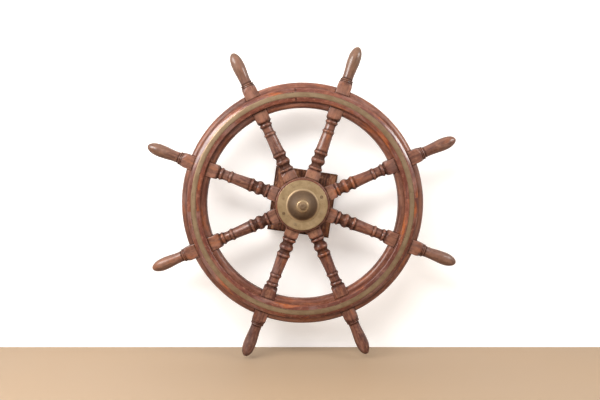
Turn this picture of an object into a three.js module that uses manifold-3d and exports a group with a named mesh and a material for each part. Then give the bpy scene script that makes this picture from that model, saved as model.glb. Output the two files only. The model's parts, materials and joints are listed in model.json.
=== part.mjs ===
// A ship's steering wheel on a wooden wall box. Eight turned spokes run from a clamped hub through a
// rim of three layers (felloes between the spokes, moulded facings in front and behind), a brass band
// is let into the front facings, and the wheel's shaft turns in a bushed bearing in the box.
//
// Millimetres and degrees, +Z up. The axle lies along Y and the front of the wheel faces -Y. The
// origin is the centre of the face that rests on the wall.
//
// Every piece is drawn in the wheel's own axes: X right and Y up as seen from the front, Z out of the
// front along the axle, with zero depth in the middle of the spokes.

import * as THREE from 'three';
import { mergeVertices } from 'three/addons/utils/BufferGeometryUtils.js';
import Module from 'manifold-3d';

const wasm = await Module();
wasm.setup();

// Driving dimensions.

const GAP = 0.3; // clearance between neighbouring pieces
const CUTTER_REACH = 1; // how far a cutting tool runs past the piece it cuts
const WALL_DEPTH = 150; // from the middle of the spokes back to the wall

// Each spoke's angle above +X, and how far its tip reaches. They are set by hand, so they stray from even.
const SPOKES = [
  { angle: 23.2, tip: 612.5 },
  { angle: 70.4, tip: 609 },
  { angle: 114.9, tip: 607.5 },
  { angle: 159.3, tip: 609.5 },
  { angle: 203.4, tip: 610.5 },
  { angle: 249.3, tip: 615 },
  { angle: 293.2, tip: 616.5 },
  { angle: 338.9, tip: 612.5 },
];
const SPOKE_SQUARE = 52; // the bar that a spoke is turned from
const SPOKE_FACETS = 10;

const RIM_INNER = 354;
const RIM_OUTER = 446;
const RIM_THICKNESS = 50; // of the felloes
const RIM_EDGE = 16; // radius of their rounded edges

const FACING_INNER = 374;
const FACING_OUTER = 424;
const FACING_THICKNESS = 17;
const FACING_COUNT = 4;
const FACING_PHASE = 3.5; // angle of the first joint between two facings
const FACING_STEP = 7.5; // angle between corners of the faceted ring

const BAND_INNER = 390;
const BAND_OUTER = 408;
const BAND_THICKNESS = 3;
const BAND_COUNT = 2;
const BAND_PHASE = 6.4;

const CHEEK_RADIUS = 99;
const CHEEK_THICKNESS = 14;
const PLATE_RADIUS = 92;
const PLATE_THICKNESS = 6;
const SLEEVE_RADIUS = 36;
const HUB_FACETS = 24;

const RIVET_CIRCLE = 75; // radius of the ring of rivets
const RIVET_RADIUS = 4;
const RIVET_HEAD = 5.6; // radius of the countersunk head
const RIVET_HEAD_DEPTH = 3;
const RIVET_PROUD = 0.4; // how far the heads stand off the plates
const RIVET_FACETS = 8;

const SHAFT_RADIUS = 15;
const SHAFT_FACETS = 16;
const SHAFT_FRONT = 76;
const SHAFT_BACK = -134;
const KEY_WIDTH = 8;
const KEY_HEIGHT = 7;
const KEY_LENGTH = 80;
const WASHER_RADIUS = 30;
const WASHER_THICKNESS = 4;
const NUT_RADIUS = 26.5; // across its corners
const NUT_HEIGHT = 18;

const DOME_RADIUS = 54;
const DOME_FLANGE = 61;
const DOME_RISE = 36;
const DOME_WALL = 3;
const DOME_STEPS = 4; // straight steps in the dome's quarter curve
const FINIAL_RADIUS = 22;
const FINIAL_RISE = 15;
const STUD_RADIUS = 5;
const STUD_REACH = 22; // how far the finial's stud goes below the cap

const BOX_WIDTH = 240;
const BOX_HEIGHT = 247;
const BOX_TURN = -8.3; // the box hangs this far clockwise
const BOX_FRONT = -90;
const BOX_INSET = 2; // the side boards stand in from the front board
const FRONT_BOARD = 20;
const BACK_BOARD = 12;
const SIDE_BOARD = 15;
const BOARD_CHAMFER = 5;

const BUSH_RADIUS = 21;
const BOSS_RADIUS = 30;
const BOSS_BACK = -116;
const FLANGE_RADIUS = 58;
const FLANGE_THICKNESS = 10;
const SCREW_CIRCLE = 45;
const SCREW_COUNT = 4;
const SCREW_FACETS = 6;
const SCREW_RADIUS = 4;
const SCREW_LENGTH = 26;
const SCREW_HEAD = 7.5; // across the corners
const SCREW_HEAD_HEIGHT = 6;

const COLLAR_RADIUS = 26;
const COLLAR_FRONT = -118;
const COLLAR_THICKNESS = 12;
const PIN_RADIUS = 3;

// Sizes that follow from the driving dimensions.

const SPOKE_COUNT = SPOKES.length;
const SPOKE_HALF = SPOKE_SQUARE / 2;
const RIM_HALF = RIM_THICKNESS / 2;
const FACING_BASE = RIM_HALF + GAP;
const FACING_TOP = FACING_BASE + FACING_THICKNESS;
const CHEEK_BASE = SPOKE_HALF + GAP;
const PLATE_BASE = CHEEK_BASE + CHEEK_THICKNESS + GAP;
const HUB_FACE = PLATE_BASE + PLATE_THICKNESS; // half the length of the whole hub
const CAP_BASE = HUB_FACE + GAP;
const BEARING_FRONT = -(CAP_BASE + WASHER_THICKNESS + GAP);
const BACK_BOARD_FRONT = -WALL_DEPTH + BACK_BOARD;

// Small helpers.

const radians = THREE.MathUtils.degToRad;
const degrees = THREE.MathUtils.radToDeg;

function range(count) {
  return Array.from({ length: count }, (_, index) => index);
}

// The corner radius of a faceted hole that clears a round bar of the given radius.
function clearing(radius, facets) {
  return (radius + GAP) / Math.cos(Math.PI / facets);
}

// Points round a circle of the given radius, from one angle to another.
function arc(centre, radius, from, to, steps) {
  return range(steps + 1).map((step) => {
    const angle = radians(from + ((to - from) * step) / steps);
    return [centre[0] + radius * Math.cos(angle), centre[1] + radius * Math.sin(angle)];
  });
}

// Points along a quarter ellipse, from its tip on the axis side down to its base.
function quarterCurve(width, height, base, fromAngle) {
  return range(DOME_STEPS + 1).map((step) => {
    const angle = fromAngle * (1 - step / DOME_STEPS);
    return [width * Math.cos(angle), base + height * Math.sin(angle)];
  });
}

// Solids: joins and cuts are made on merged, position-only copies of a geometry.

function toSolid(geometry) {
  const bare = geometry.clone();
  bare.deleteAttribute('normal');
  bare.deleteAttribute('uv');
  const merged = mergeVertices(bare, 1e-4);
  return new wasm.Manifold(
    new wasm.Mesh({
      numProp: 3,
      vertProperties: new Float32Array(merged.attributes.position.array),
      triVerts: new Uint32Array(merged.index.array),
    }),
  );
}

function toGeometry(solid) {
  const mesh = solid.getMesh();
  const geometry = new THREE.BufferGeometry();
  geometry.setAttribute('position', new THREE.BufferAttribute(mesh.vertProperties, 3));
  geometry.setIndex(new THREE.BufferAttribute(mesh.triVerts, 1));
  geometry.computeVertexNormals();
  return geometry;
}

function cut(geometry, cutters) {
  const start = toSolid(geometry);
  return toGeometry(cutters.reduce((solid, cutter) => solid.subtract(toSolid(cutter)), start));
}

function common(geometries) {
  const solids = geometries.map(toSolid);
  return toGeometry(solids.reduce((solid, next) => solid.intersect(next)));
}

// A turned piece about the axle, from an outline of [radius, depth] pairs, back to front on the outside.
function turned(outline, facets) {
  const points = outline.map(([radius, depth]) => new THREE.Vector2(radius, depth));
  return new THREE.LatheGeometry(points, facets).rotateX(Math.PI / 2);
}

// A flat ring about the axle.
function ring(inner, outer, back, front, facets) {
  const outline = [
    [inner, back],
    [outer, back],
    [outer, front],
    [inner, front],
    [inner, back],
  ];
  return turned(outline, facets);
}

// A solid disc or rod about the axle.
function rod(radius, back, front, facets) {
  const outline = [
    [0, back],
    [radius, back],
    [radius, front],
    [0, front],
  ];
  return turned(outline, facets);
}

// A block with its faces square to the wheel's axes, from two opposite corners.
function block(low, high) {
  const size = high.map((value, axis) => value - low[axis]);
  const centre = high.map((value, axis) => (value + low[axis]) / 2);
  return new THREE.BoxGeometry(...size).translate(...centre);
}

// Moves a geometry out from the axle to a radius, in a given direction.
function outTo(geometry, radius, angle) {
  const direction = radians(angle);
  return geometry.translate(radius * Math.cos(direction), radius * Math.sin(direction), 0);
}

// A curved bar: a closed outline of [radius, depth] pairs swept about the axle between two joints. Each
// end face is parallel to its joint's radius and stands clearance away from it.
function curvedBar(outline, from, to, clearance, stops) {
  const offset = (radius) => degrees(Math.asin(clearance / radius));
  const rows = [
    outline.map(([radius]) => from + offset(radius)),
    ...stops.map((stop) => outline.map(() => stop)),
    outline.map(([radius]) => to - offset(radius)),
  ];
  const positions = rows.flatMap((row) =>
    outline.flatMap(([radius, depth], corner) => {
      const angle = radians(row[corner]);
      return [radius * Math.cos(angle), radius * Math.sin(angle), depth];
    }),
  );
  const corners = outline.length;
  const triangles = [];
  for (let row = 0; row + 1 < rows.length; row += 1) {
    for (let corner = 0; corner < corners; corner += 1) {
      const next = (corner + 1) % corners;
      const here = row * corners;
      const ahead = here + corners;
      triangles.push(here + corner, ahead + corner, ahead + next);
      triangles.push(here + corner, ahead + next, here + next);
    }
  }
  const section = outline.map(([radius, depth]) => new THREE.Vector2(radius, depth));
  const last = (rows.length - 1) * corners;
  for (const [a, b, c] of THREE.ShapeUtils.triangulateShape(section, [])) {
    triangles.push(a, b, c);
    triangles.push(last + a, last + c, last + b);
  }
  const geometry = new THREE.BufferGeometry();
  geometry.setAttribute('position', new THREE.Float32BufferAttribute(positions, 3));
  geometry.setIndex(triangles);
  geometry.computeVertexNormals();
  return geometry;
}

// A spoke lies along +Y: a square bar, cut to its plan and side outlines and then turned.

// A flat bar along Y. Each side's outline is [distance along Y, distance from Y] pairs.
function flatBar(rightOutline, leftOutline, thickness) {
  const right = rightOutline.map(([along, out]) => new THREE.Vector2(out, along));
  const left = leftOutline.map(([along, out]) => new THREE.Vector2(-out, along)).reverse();
  const shape = new THREE.Shape([...right, ...left]);
  const options = { depth: thickness, bevelEnabled: false };
  return new THREE.ExtrudeGeometry(shape, options).translate(0, 0, -thickness / 2);
}

const SPOKE_ROOT = clearing(SLEEVE_RADIUS, HUB_FACETS);
const BLANK_THICKNESS = SPOKE_SQUARE + 10; // both outlines are cut wider than the bar itself
const BLANK_END = 620;
const HANDLE_TAPER = [
  [467, 25.2],
  [477, 23.2],
  [BLANK_END, 23.2],
];

// The angle from a spoke to its neighbour: the next one anticlockwise, or clockwise when side is -1.
function angleToNext(index, side) {
  const neighbour = SPOKES[(index + side + SPOKE_COUNT) % SPOKE_COUNT];
  return (side * (neighbour.angle - SPOKES[index].angle) + 360) % 360;
}

// One side of the plan. Its wedge at the root meets the neighbour's half way between the two spokes.
function planSide(index, side) {
  const half = radians(angleToNext(index, side) / 2);
  const slope = Math.tan(half);
  const allowance = GAP / 2 / Math.cos(half);
  return [
    [SPOKE_ROOT, SPOKE_ROOT * slope - allowance],
    [(SPOKE_HALF + allowance) / slope, SPOKE_HALF],
    [RIM_OUTER + 12, SPOKE_HALF],
    ...HANDLE_TAPER,
  ];
}

function spokePlan(index) {
  return flatBar(planSide(index, -1), planSide(index, 1), BLANK_THICKNESS);
}

// The side outline has a notch on each face, where the facings cross the spoke.
function spokeSide() {
  const notchInner = Math.sqrt(FACING_INNER ** 2 - SPOKE_HALF ** 2) - 3 * GAP;
  const notchOuter = FACING_OUTER + GAP;
  const outline = [
    [SPOKE_ROOT, SPOKE_HALF],
    [notchInner, SPOKE_HALF],
    [notchInner, RIM_HALF],
    [notchOuter, RIM_HALF],
    [notchOuter, SPOKE_HALF],
    [RIM_OUTER + 12, SPOKE_HALF],
    ...HANDLE_TAPER,
  ];
  return flatBar(outline, outline, BLANK_THICKNESS).rotateY(Math.PI / 2);
}

// The turning's radius at each distance from the axle. Where it is UNTURNED the bar stays square.
const UNTURNED = 41;
const TURNING = [
  [0, SPOKE_ROOT - 2],
  [UNTURNED, SPOKE_ROOT - 2],
  [UNTURNED, 118], // root block, rounded over at its end
  [34, 126],
  [23.4, 135],
  [26.8, 140], // collar
  [26.8, 144],
  [20.1, 155], // cove
  [26.4, 168], // vase
  [26.6, 175],
  [20.3, 188],
  [26, 200], // flared collar
  [25.4, 205],
  [23, 213], // long taper
  [20.1, 277],
  [22.7, 284], // ring
  [19.3, 292],
  [19, 310],
  [23, 321], // ring
  [21, 327],
  [26.5, 334], // rim block, rounded over at both ends
  [UNTURNED, 348],
  [UNTURNED, 452],
  [33, 463],
  [22.6, 476],
  [22.9, 482], // ring at the handle's foot
];
const HANDLE_FOOT = 482;
// The handle's radius at each share of its length.
const HANDLE = [
  [19, 0.06],
  [18.5, 0.16],
  [20.4, 0.36],
  [22.1, 0.57],
  [21.6, 0.71],
  [18.3, 0.85],
  [13.8, 0.925],
  [7.5, 0.98],
  [0, 1],
];

function spokeTurning(tip) {
  const handle = HANDLE.map(([radius, share]) => [radius, HANDLE_FOOT + share * (tip - HANDLE_FOOT)]);
  const points = [...TURNING, ...handle].map(([radius, along]) => new THREE.Vector2(radius, along));
  return new THREE.LatheGeometry(points, SPOKE_FACETS);
}

// Hub rivets. Each has a countersunk head at both ends. Its hole is the same turning, made wider by the
// clearance and longer than the hub.
function rivetTurning(growth, reach) {
  const neck = HUB_FACE - RIVET_HEAD_DEPTH;
  const end = HUB_FACE + reach;
  const outline = [
    [0, -end],
    [RIVET_HEAD + growth, -end],
    [RIVET_HEAD + growth, -HUB_FACE],
    [RIVET_RADIUS + growth, -neck],
    [RIVET_RADIUS + growth, neck],
    [RIVET_HEAD + growth, HUB_FACE],
    [RIVET_HEAD + growth, end],
    [0, end],
  ];
  return turned(outline, RIVET_FACETS);
}

// A rivet and its holes turn the same facets towards their spoke, so that the rivet fits evenly.
function onSpoke(geometry, angle) {
  return outTo(geometry, RIVET_CIRCLE, 0).rotateZ(radians(angle));
}

function rivet(angle) {
  return onSpoke(rivetTurning(0, RIVET_PROUD), angle);
}

function rivetHole(angle) {
  return onSpoke(rivetTurning(clearing(0, RIVET_FACETS), CUTTER_REACH), angle);
}

function spoke(index) {
  const bar = common([spokePlan(index), spokeSide(), spokeTurning(SPOKES[index].tip)]);
  return cut(bar, [rivetHole(90)]);
}

// Rim.

const FELLOE_STEPS = 6;
const EDGE_STEPS = 2;
const EDGE_INNER = RIM_INNER + RIM_EDGE;
const EDGE_OUTER = RIM_OUTER - RIM_EDGE;
const EDGE_DEPTH = RIM_HALF - RIM_EDGE;
const FELLOE_OUTLINE = [
  ...arc([EDGE_OUTER, -EDGE_DEPTH], RIM_EDGE, -90, 0, EDGE_STEPS),
  ...arc([EDGE_OUTER, EDGE_DEPTH], RIM_EDGE, 0, 90, EDGE_STEPS),
  ...arc([EDGE_INNER, EDGE_DEPTH], RIM_EDGE, 90, 180, EDGE_STEPS),
  ...arc([EDGE_INNER, -EDGE_DEPTH], RIM_EDGE, 180, 270, EDGE_STEPS),
];

// A felloe fills the space between two spokes, and its ends lie along the spokes' sides.
function felloe(index) {
  const from = SPOKES[index].angle;
  const span = angleToNext(index, 1);
  const stops = range(FELLOE_STEPS - 1).map((step) => from + ((step + 1) * span) / FELLOE_STEPS);
  return curvedBar(FELLOE_OUTLINE, from, from + span, SPOKE_HALF + GAP, stops);
}

// Corners shared by the facings and the band, so that the band fits its groove. They cover two turns,
// because the last piece of each ring ends beyond the first full turn.
function ringStops(from, to) {
  const nearest = FACING_STEP / 10;
  const bandStep = 360 / BAND_COUNT;
  const even = range(720 / FACING_STEP).map((step) => FACING_PHASE + step * FACING_STEP);
  const bandJoints = range(720 / bandStep).map((step) => BAND_PHASE + step * bandStep);
  return [...even, ...bandJoints]
    .filter((stop) => stop > from + nearest && stop < to - nearest)
    .sort((a, b) => a - b);
}

// The front facing is crowned: a quarter round on each side of the groove for the band.
const GROOVE_FLOOR = FACING_TOP - 1 - BAND_THICKNESS;
const GROOVE_INNER = BAND_INNER - GAP;
const GROOVE_OUTER = BAND_OUTER + GAP;
const FRONT_FACING_OUTLINE = [
  [FACING_INNER, FACING_BASE],
  [FACING_OUTER, FACING_BASE],
  [FACING_OUTER, FACING_TOP - 9],
  [FACING_OUTER - 2, FACING_TOP - 5.5],
  [FACING_OUTER - 7, FACING_TOP - 2.5],
  [GROOVE_OUTER, FACING_TOP - 1],
  [GROOVE_OUTER, GROOVE_FLOOR],
  [GROOVE_INNER, GROOVE_FLOOR],
  [GROOVE_INNER, FACING_TOP - 1],
  [FACING_INNER + 7, FACING_TOP - 2.5],
  [FACING_INNER + 2, FACING_TOP - 5.5],
  [FACING_INNER, FACING_TOP - 9],
];

// The rear facing is plain, with eased edges.
const REAR_FACING_OUTLINE = [
  [FACING_OUTER, -FACING_BASE],
  [FACING_INNER, -FACING_BASE],
  [FACING_INNER, -FACING_TOP + 6],
  [FACING_INNER + 6, -FACING_TOP],
  [FACING_OUTER - 8, -FACING_TOP],
  [FACING_OUTER, -FACING_TOP + 8],
];

const BAND_BASE = GROOVE_FLOOR + GAP;
const BAND_OUTLINE = [
  [BAND_INNER, BAND_BASE],
  [BAND_OUTER, BAND_BASE],
  [BAND_OUTER, BAND_BASE + BAND_THICKNESS],
  [BAND_INNER, BAND_BASE + BAND_THICKNESS],
];

function ringPiece(outline, from, span) {
  return curvedBar(outline, from, from + span, GAP / 2, ringStops(from, from + span));
}

// Hub.

// A piece drawn for the front of the hub, turned over for the back of it when side is -1.
function onSide(geometry, side) {
  return side > 0 ? geometry : geometry.rotateY(Math.PI);
}

function rivetHoles() {
  return SPOKES.map(({ angle }) => rivetHole(angle));
}

// A wooden cheek that clamps the spokes, with an eased outer edge. side is 1 in front and -1 behind.
function cheek(side) {
  const edge = 4;
  const top = CHEEK_BASE + CHEEK_THICKNESS;
  const bore = clearing(SLEEVE_RADIUS, HUB_FACETS);
  const outline = [
    [bore, CHEEK_BASE],
    [CHEEK_RADIUS, CHEEK_BASE],
    [CHEEK_RADIUS, top - edge],
    [CHEEK_RADIUS - edge, top],
    [bore, top],
    [bore, CHEEK_BASE],
  ];
  return cut(onSide(turned(outline, HUB_FACETS), side), rivetHoles());
}

function hubPlate(side) {
  const bore = clearing(SLEEVE_RADIUS, HUB_FACETS);
  const disc = ring(bore, PLATE_RADIUS, PLATE_BASE, HUB_FACE, HUB_FACETS);
  return cut(onSide(disc, side), rivetHoles());
}

function keyBlock(growth, low, high) {
  const half = KEY_WIDTH / 2 + growth;
  const middle = SHAFT_RADIUS;
  const tall = KEY_HEIGHT / 2 + growth;
  return block([-half, middle - tall, low], [half, middle + tall, high]);
}

function hubSleeve() {
  const bore = clearing(SHAFT_RADIUS, SHAFT_FACETS);
  const tube = ring(bore, SLEEVE_RADIUS, -HUB_FACE, HUB_FACE, HUB_FACETS);
  return cut(tube, [keyBlock(GAP, -HUB_FACE - CUTTER_REACH, HUB_FACE + CUTTER_REACH)]);
}

// The cap is a thin dome with a flat top and a turned-out foot, open at the back.
const CAP_FOOT = 3; // height of the foot under the dome
const CAP_FLAT = Math.acos(FINIAL_RADIUS / DOME_RADIUS);
const CAP_TOP = CAP_BASE + CAP_FOOT + DOME_RISE * Math.sin(CAP_FLAT);

function domeCap() {
  const bore = clearing(STUD_RADIUS, RIVET_FACETS);
  const spring = CAP_BASE + CAP_FOOT;
  const outside = quarterCurve(DOME_RADIUS, DOME_RISE, spring, CAP_FLAT).reverse();
  const inside = quarterCurve(DOME_RADIUS - DOME_WALL, DOME_RISE - DOME_WALL, spring, CAP_FLAT);
  const outline = [
    [DOME_RADIUS - DOME_WALL, CAP_BASE],
    [DOME_FLANGE, CAP_BASE],
    [DOME_FLANGE, CAP_BASE + 1.2],
    [DOME_RADIUS + 1.5, CAP_BASE + 2],
    ...outside,
    [bore, CAP_TOP],
    [bore, CAP_TOP - DOME_WALL],
    ...inside,
    [DOME_RADIUS - DOME_WALL, CAP_BASE],
  ];
  return turned(outline, HUB_FACETS);
}

// The finial is a ringed button whose stud screws into the end of the shaft.
function finial() {
  const foot = CAP_TOP + GAP;
  const outline = [
    [0, CAP_TOP - STUD_REACH],
    [STUD_RADIUS, CAP_TOP - STUD_REACH],
    [STUD_RADIUS, foot],
    [FINIAL_RADIUS - 2, foot],
    [FINIAL_RADIUS, foot + 3],
    [FINIAL_RADIUS - 3, foot + 8],
    [FINIAL_RADIUS - 10, foot + 11],
    [FINIAL_RADIUS - 12, foot + FINIAL_RISE - 2],
    [0, foot + FINIAL_RISE],
  ];
  return turned(outline, SHAFT_FACETS);
}

// Shaft and its fastenings.

const STUD_HOLE_FLOOR = CAP_TOP - STUD_REACH - 2;
const PIN_DEPTH = COLLAR_FRONT - COLLAR_THICKNESS / 2;

// A rod that crosses the axle along X at the collar.
function crossRod(radius, halfLength) {
  return rod(radius, -halfLength, halfLength, RIVET_FACETS)
    .rotateY(Math.PI / 2)
    .translate(0, 0, PIN_DEPTH);
}

function shaft() {
  const studHole = clearing(STUD_RADIUS, RIVET_FACETS);
  return cut(rod(SHAFT_RADIUS, SHAFT_BACK, SHAFT_FRONT, SHAFT_FACETS), [
    rod(studHole, STUD_HOLE_FLOOR, SHAFT_FRONT + CUTTER_REACH, RIVET_FACETS),
    keyBlock(GAP, -KEY_LENGTH / 2 - GAP, KEY_LENGTH / 2 + GAP),
    crossRod(clearing(PIN_RADIUS, RIVET_FACETS), SHAFT_RADIUS + CUTTER_REACH),
  ]);
}

function shaftNut() {
  const back = CAP_BASE + WASHER_THICKNESS + GAP;
  const front = back + NUT_HEIGHT;
  const bore = clearing(SHAFT_RADIUS, SHAFT_FACETS);
  const hole = rod(bore, back - CUTTER_REACH, front + CUTTER_REACH, SHAFT_FACETS);
  return cut(rod(NUT_RADIUS, back, front, 6), [hole]);
}

function shaftWasher(side) {
  const bore = clearing(SHAFT_RADIUS, SHAFT_FACETS);
  const washer = ring(bore, WASHER_RADIUS, CAP_BASE, CAP_BASE + WASHER_THICKNESS, SHAFT_FACETS);
  return onSide(washer, side);
}

function collar() {
  const bore = clearing(SHAFT_RADIUS, SHAFT_FACETS);
  const disc = ring(bore, COLLAR_RADIUS, COLLAR_FRONT - COLLAR_THICKNESS, COLLAR_FRONT, SHAFT_FACETS);
  return cut(disc, [crossRod(clearing(PIN_RADIUS, RIVET_FACETS), COLLAR_RADIUS + CUTTER_REACH)]);
}

// Bearing.

const FLANGE_SEAT = BOX_FRONT + GAP;
const SCREW_SEAT = FLANGE_SEAT + FLANGE_THICKNESS + GAP; // under the screws' heads
const SCREW_POINT = SCREW_SEAT - SCREW_LENGTH;

// A screw's hole has the screw's own six facets, so that its shank fits evenly.
function screwHole(angle) {
  const radius = clearing(SCREW_RADIUS, SCREW_FACETS);
  const hole = rod(radius, SCREW_POINT - GAP, SCREW_SEAT + CUTTER_REACH, SCREW_FACETS);
  return outTo(hole, SCREW_CIRCLE, angle);
}

function screwAngle(index) {
  return 45 + (index * 360) / SCREW_COUNT;
}

function screwHoles() {
  return range(SCREW_COUNT).map((index) => screwHole(screwAngle(index)));
}

// A coach screw: a hexagon head on a plain shank.
function housingScrew(index) {
  const outline = [
    [0, SCREW_POINT],
    [SCREW_RADIUS, SCREW_POINT],
    [SCREW_RADIUS, SCREW_SEAT],
    [SCREW_HEAD, SCREW_SEAT],
    [SCREW_HEAD, SCREW_SEAT + SCREW_HEAD_HEIGHT],
    [0, SCREW_SEAT + SCREW_HEAD_HEIGHT],
  ];
  return outTo(turned(outline, SCREW_FACETS), SCREW_CIRCLE, screwAngle(index));
}

function bearingHousing() {
  const bore = clearing(BUSH_RADIUS, SHAFT_FACETS);
  const outline = [
    [bore, BOSS_BACK],
    [BOSS_RADIUS, BOSS_BACK],
    [BOSS_RADIUS, FLANGE_SEAT],
    [FLANGE_RADIUS, FLANGE_SEAT],
    [FLANGE_RADIUS, FLANGE_SEAT + FLANGE_THICKNESS],
    [BOSS_RADIUS + 4, FLANGE_SEAT + FLANGE_THICKNESS],
    [BOSS_RADIUS, BEARING_FRONT],
    [bore, BEARING_FRONT],
    [bore, BOSS_BACK],
  ];
  return cut(turned(outline, SHAFT_FACETS), screwHoles());
}

function bearingBush() {
  const bore = clearing(SHAFT_RADIUS, SHAFT_FACETS);
  return ring(bore, BUSH_RADIUS, BOSS_BACK, BEARING_FRONT, SHAFT_FACETS);
}

// Wall box.

// A board the size of the box, chamfered round its front edge.
function chamferedBoard(back, front) {
  const wide = BOX_WIDTH / 2 - BOARD_CHAMFER;
  const tall = BOX_HEIGHT / 2 - BOARD_CHAMFER;
  const corners = [
    [-wide, -tall],
    [wide, -tall],
    [wide, tall],
    [-wide, tall],
  ];
  const shape = new THREE.Shape(corners.map(([x, y]) => new THREE.Vector2(x, y)));
  const options = {
    depth: front - back - BOARD_CHAMFER,
    bevelSize: BOARD_CHAMFER,
    bevelThickness: BOARD_CHAMFER,
    bevelSegments: 1,
  };
  const slab = new THREE.ExtrudeGeometry(shape, options).translate(0, 0, back);
  const room = block([-BOX_WIDTH, -BOX_HEIGHT, back], [BOX_WIDTH, BOX_HEIGHT, front]);
  return common([slab, room]);
}

function boxFront() {
  const hole = rod(clearing(BOSS_RADIUS, SHAFT_FACETS), -WALL_DEPTH, 0, SHAFT_FACETS);
  return cut(chamferedBoard(BOX_FRONT - FRONT_BOARD, BOX_FRONT), [hole, ...screwHoles()]);
}

function boxBack() {
  const wide = BOX_WIDTH / 2;
  const tall = BOX_HEIGHT / 2;
  return block([-wide, -tall, -WALL_DEPTH], [wide, tall, BACK_BOARD_FRONT]);
}

// The top and bottom boards run the box's full width, and the left and right ones fit between them.
const CROSS_LENGTH = BOX_WIDTH - 2 * BOX_INSET;
const UPRIGHT_LENGTH = BOX_HEIGHT - 2 * (BOX_INSET + SIDE_BOARD + GAP);

// A side board of the given length, in the given direction from the axle. extent is the box's own size
// in that direction.
function boxSide(length, extent, angle) {
  const outer = extent / 2 - BOX_INSET;
  const low = [outer - SIDE_BOARD, -length / 2, BACK_BOARD_FRONT + GAP];
  const high = [outer, length / 2, BOX_FRONT - FRONT_BOARD - GAP];
  return block(low, high).rotateZ(radians(angle));
}

// Assembly.

const object = new THREE.Group();
const wheel = new THREE.Group();
const box = new THREE.Group();

for (const group of [wheel, box]) {
  group.rotation.x = Math.PI / 2;
  group.position.y = -WALL_DEPTH;
  object.add(group);
}
box.rotation.z = radians(BOX_TURN);

function material(colour, roughness, metalness) {
  return new THREE.MeshStandardMaterial({ color: colour, roughness, metalness });
}

// Woods and metals, each piece with a material of its own.
const rimWood = () => material('#7e5244', 0.45, 0);
const facingWood = () => material('#84543f', 0.4, 0);
const spokeWood = () => material('#74452f', 0.4, 0);
const boxWood = () => material('#5f3c2c', 0.6, 0);
const brass = () => material('#a88f62', 0.35, 1);
const darkBrass = () => material('#7d6244', 0.35, 1);
const bronze = () => material('#9a7442', 0.4, 1);
const steel = () => material('#8a8885', 0.4, 1);
const iron = () => material('#3f3d3b', 0.6, 1);

function place(group, name, geometry, finish, turn = 0) {
  const mesh = new THREE.Mesh(geometry, finish);
  mesh.name = name;
  mesh.rotation.z = radians(turn);
  group.add(mesh);
}

for (const index of range(SPOKE_COUNT)) {
  const { angle } = SPOKES[index];
  const number = index + 1;
  place(wheel, `spoke_${number}`, spoke(index), spokeWood(), angle - 90);
  place(wheel, `felloe_${number}`, felloe(index), rimWood());
  place(wheel, `hub_rivet_${number}`, rivet(angle), darkBrass());
}

for (const index of range(FACING_COUNT)) {
  const span = 360 / FACING_COUNT;
  const from = FACING_PHASE + index * span;
  place(wheel, `front_facing_${index + 1}`, ringPiece(FRONT_FACING_OUTLINE, from, span), facingWood());
  place(wheel, `rear_facing_${index + 1}`, ringPiece(REAR_FACING_OUTLINE, from, span), facingWood());
}

for (const index of range(BAND_COUNT)) {
  const span = 360 / BAND_COUNT;
  const band = ringPiece(BAND_OUTLINE, BAND_PHASE + index * span, span);
  place(wheel, `brass_band_${index + 1}`, band, brass());
}

place(wheel, 'nave_front_cheek', cheek(1), rimWood());
place(wheel, 'nave_rear_cheek', cheek(-1), rimWood());
place(wheel, 'front_hub_plate', hubPlate(1), brass());
place(wheel, 'rear_hub_plate', hubPlate(-1), brass());
place(wheel, 'hub_sleeve', hubSleeve(), bronze());
place(wheel, 'dome_cap', domeCap(), darkBrass());
place(wheel, 'cap_finial', finial(), darkBrass());
place(wheel, 'shaft', shaft(), steel());
place(wheel, 'shaft_key', keyBlock(0, -KEY_LENGTH / 2, KEY_LENGTH / 2), steel());
place(wheel, 'shaft_washer', shaftWasher(1), steel());
place(wheel, 'shaft_nut', shaftNut(), steel());
place(wheel, 'shaft_collar', collar(), steel());
place(wheel, 'collar_pin', crossRod(PIN_RADIUS, COLLAR_RADIUS), steel());

place(box, 'thrust_washer', shaftWasher(-1), bronze());
place(box, 'bearing_bush', bearingBush(), bronze());
place(box, 'bearing_housing', bearingHousing(), iron());
place(box, 'box_front_board', boxFront(), boxWood());
place(box, 'box_back_board', boxBack(), boxWood());
place(box, 'box_right_board', boxSide(UPRIGHT_LENGTH, BOX_WIDTH, 0), boxWood());
place(box, 'box_left_board', boxSide(UPRIGHT_LENGTH, BOX_WIDTH, 180), boxWood());
place(box, 'box_top_board', boxSide(CROSS_LENGTH, BOX_HEIGHT, 90), boxWood());
place(box, 'box_bottom_board', boxSide(CROSS_LENGTH, BOX_HEIGHT, 270), boxWood());
for (const index of range(SCREW_COUNT)) {
  place(box, `housing_screw_${index + 1}`, housingScrew(index), steel());
}

export default object;
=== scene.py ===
"""The look of a ship's steering wheel on its wooden wall box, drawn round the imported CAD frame.

Shapes are drawn in the wheel's own axes: right and up as seen from the front, and depth out of the
front along the axle, with zero depth in the middle of the spokes. Lengths are in metres, and small ones
are written as a number of MM. The tables of outlines are in millimetres.
"""

import json
import math
from types import SimpleNamespace

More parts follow.
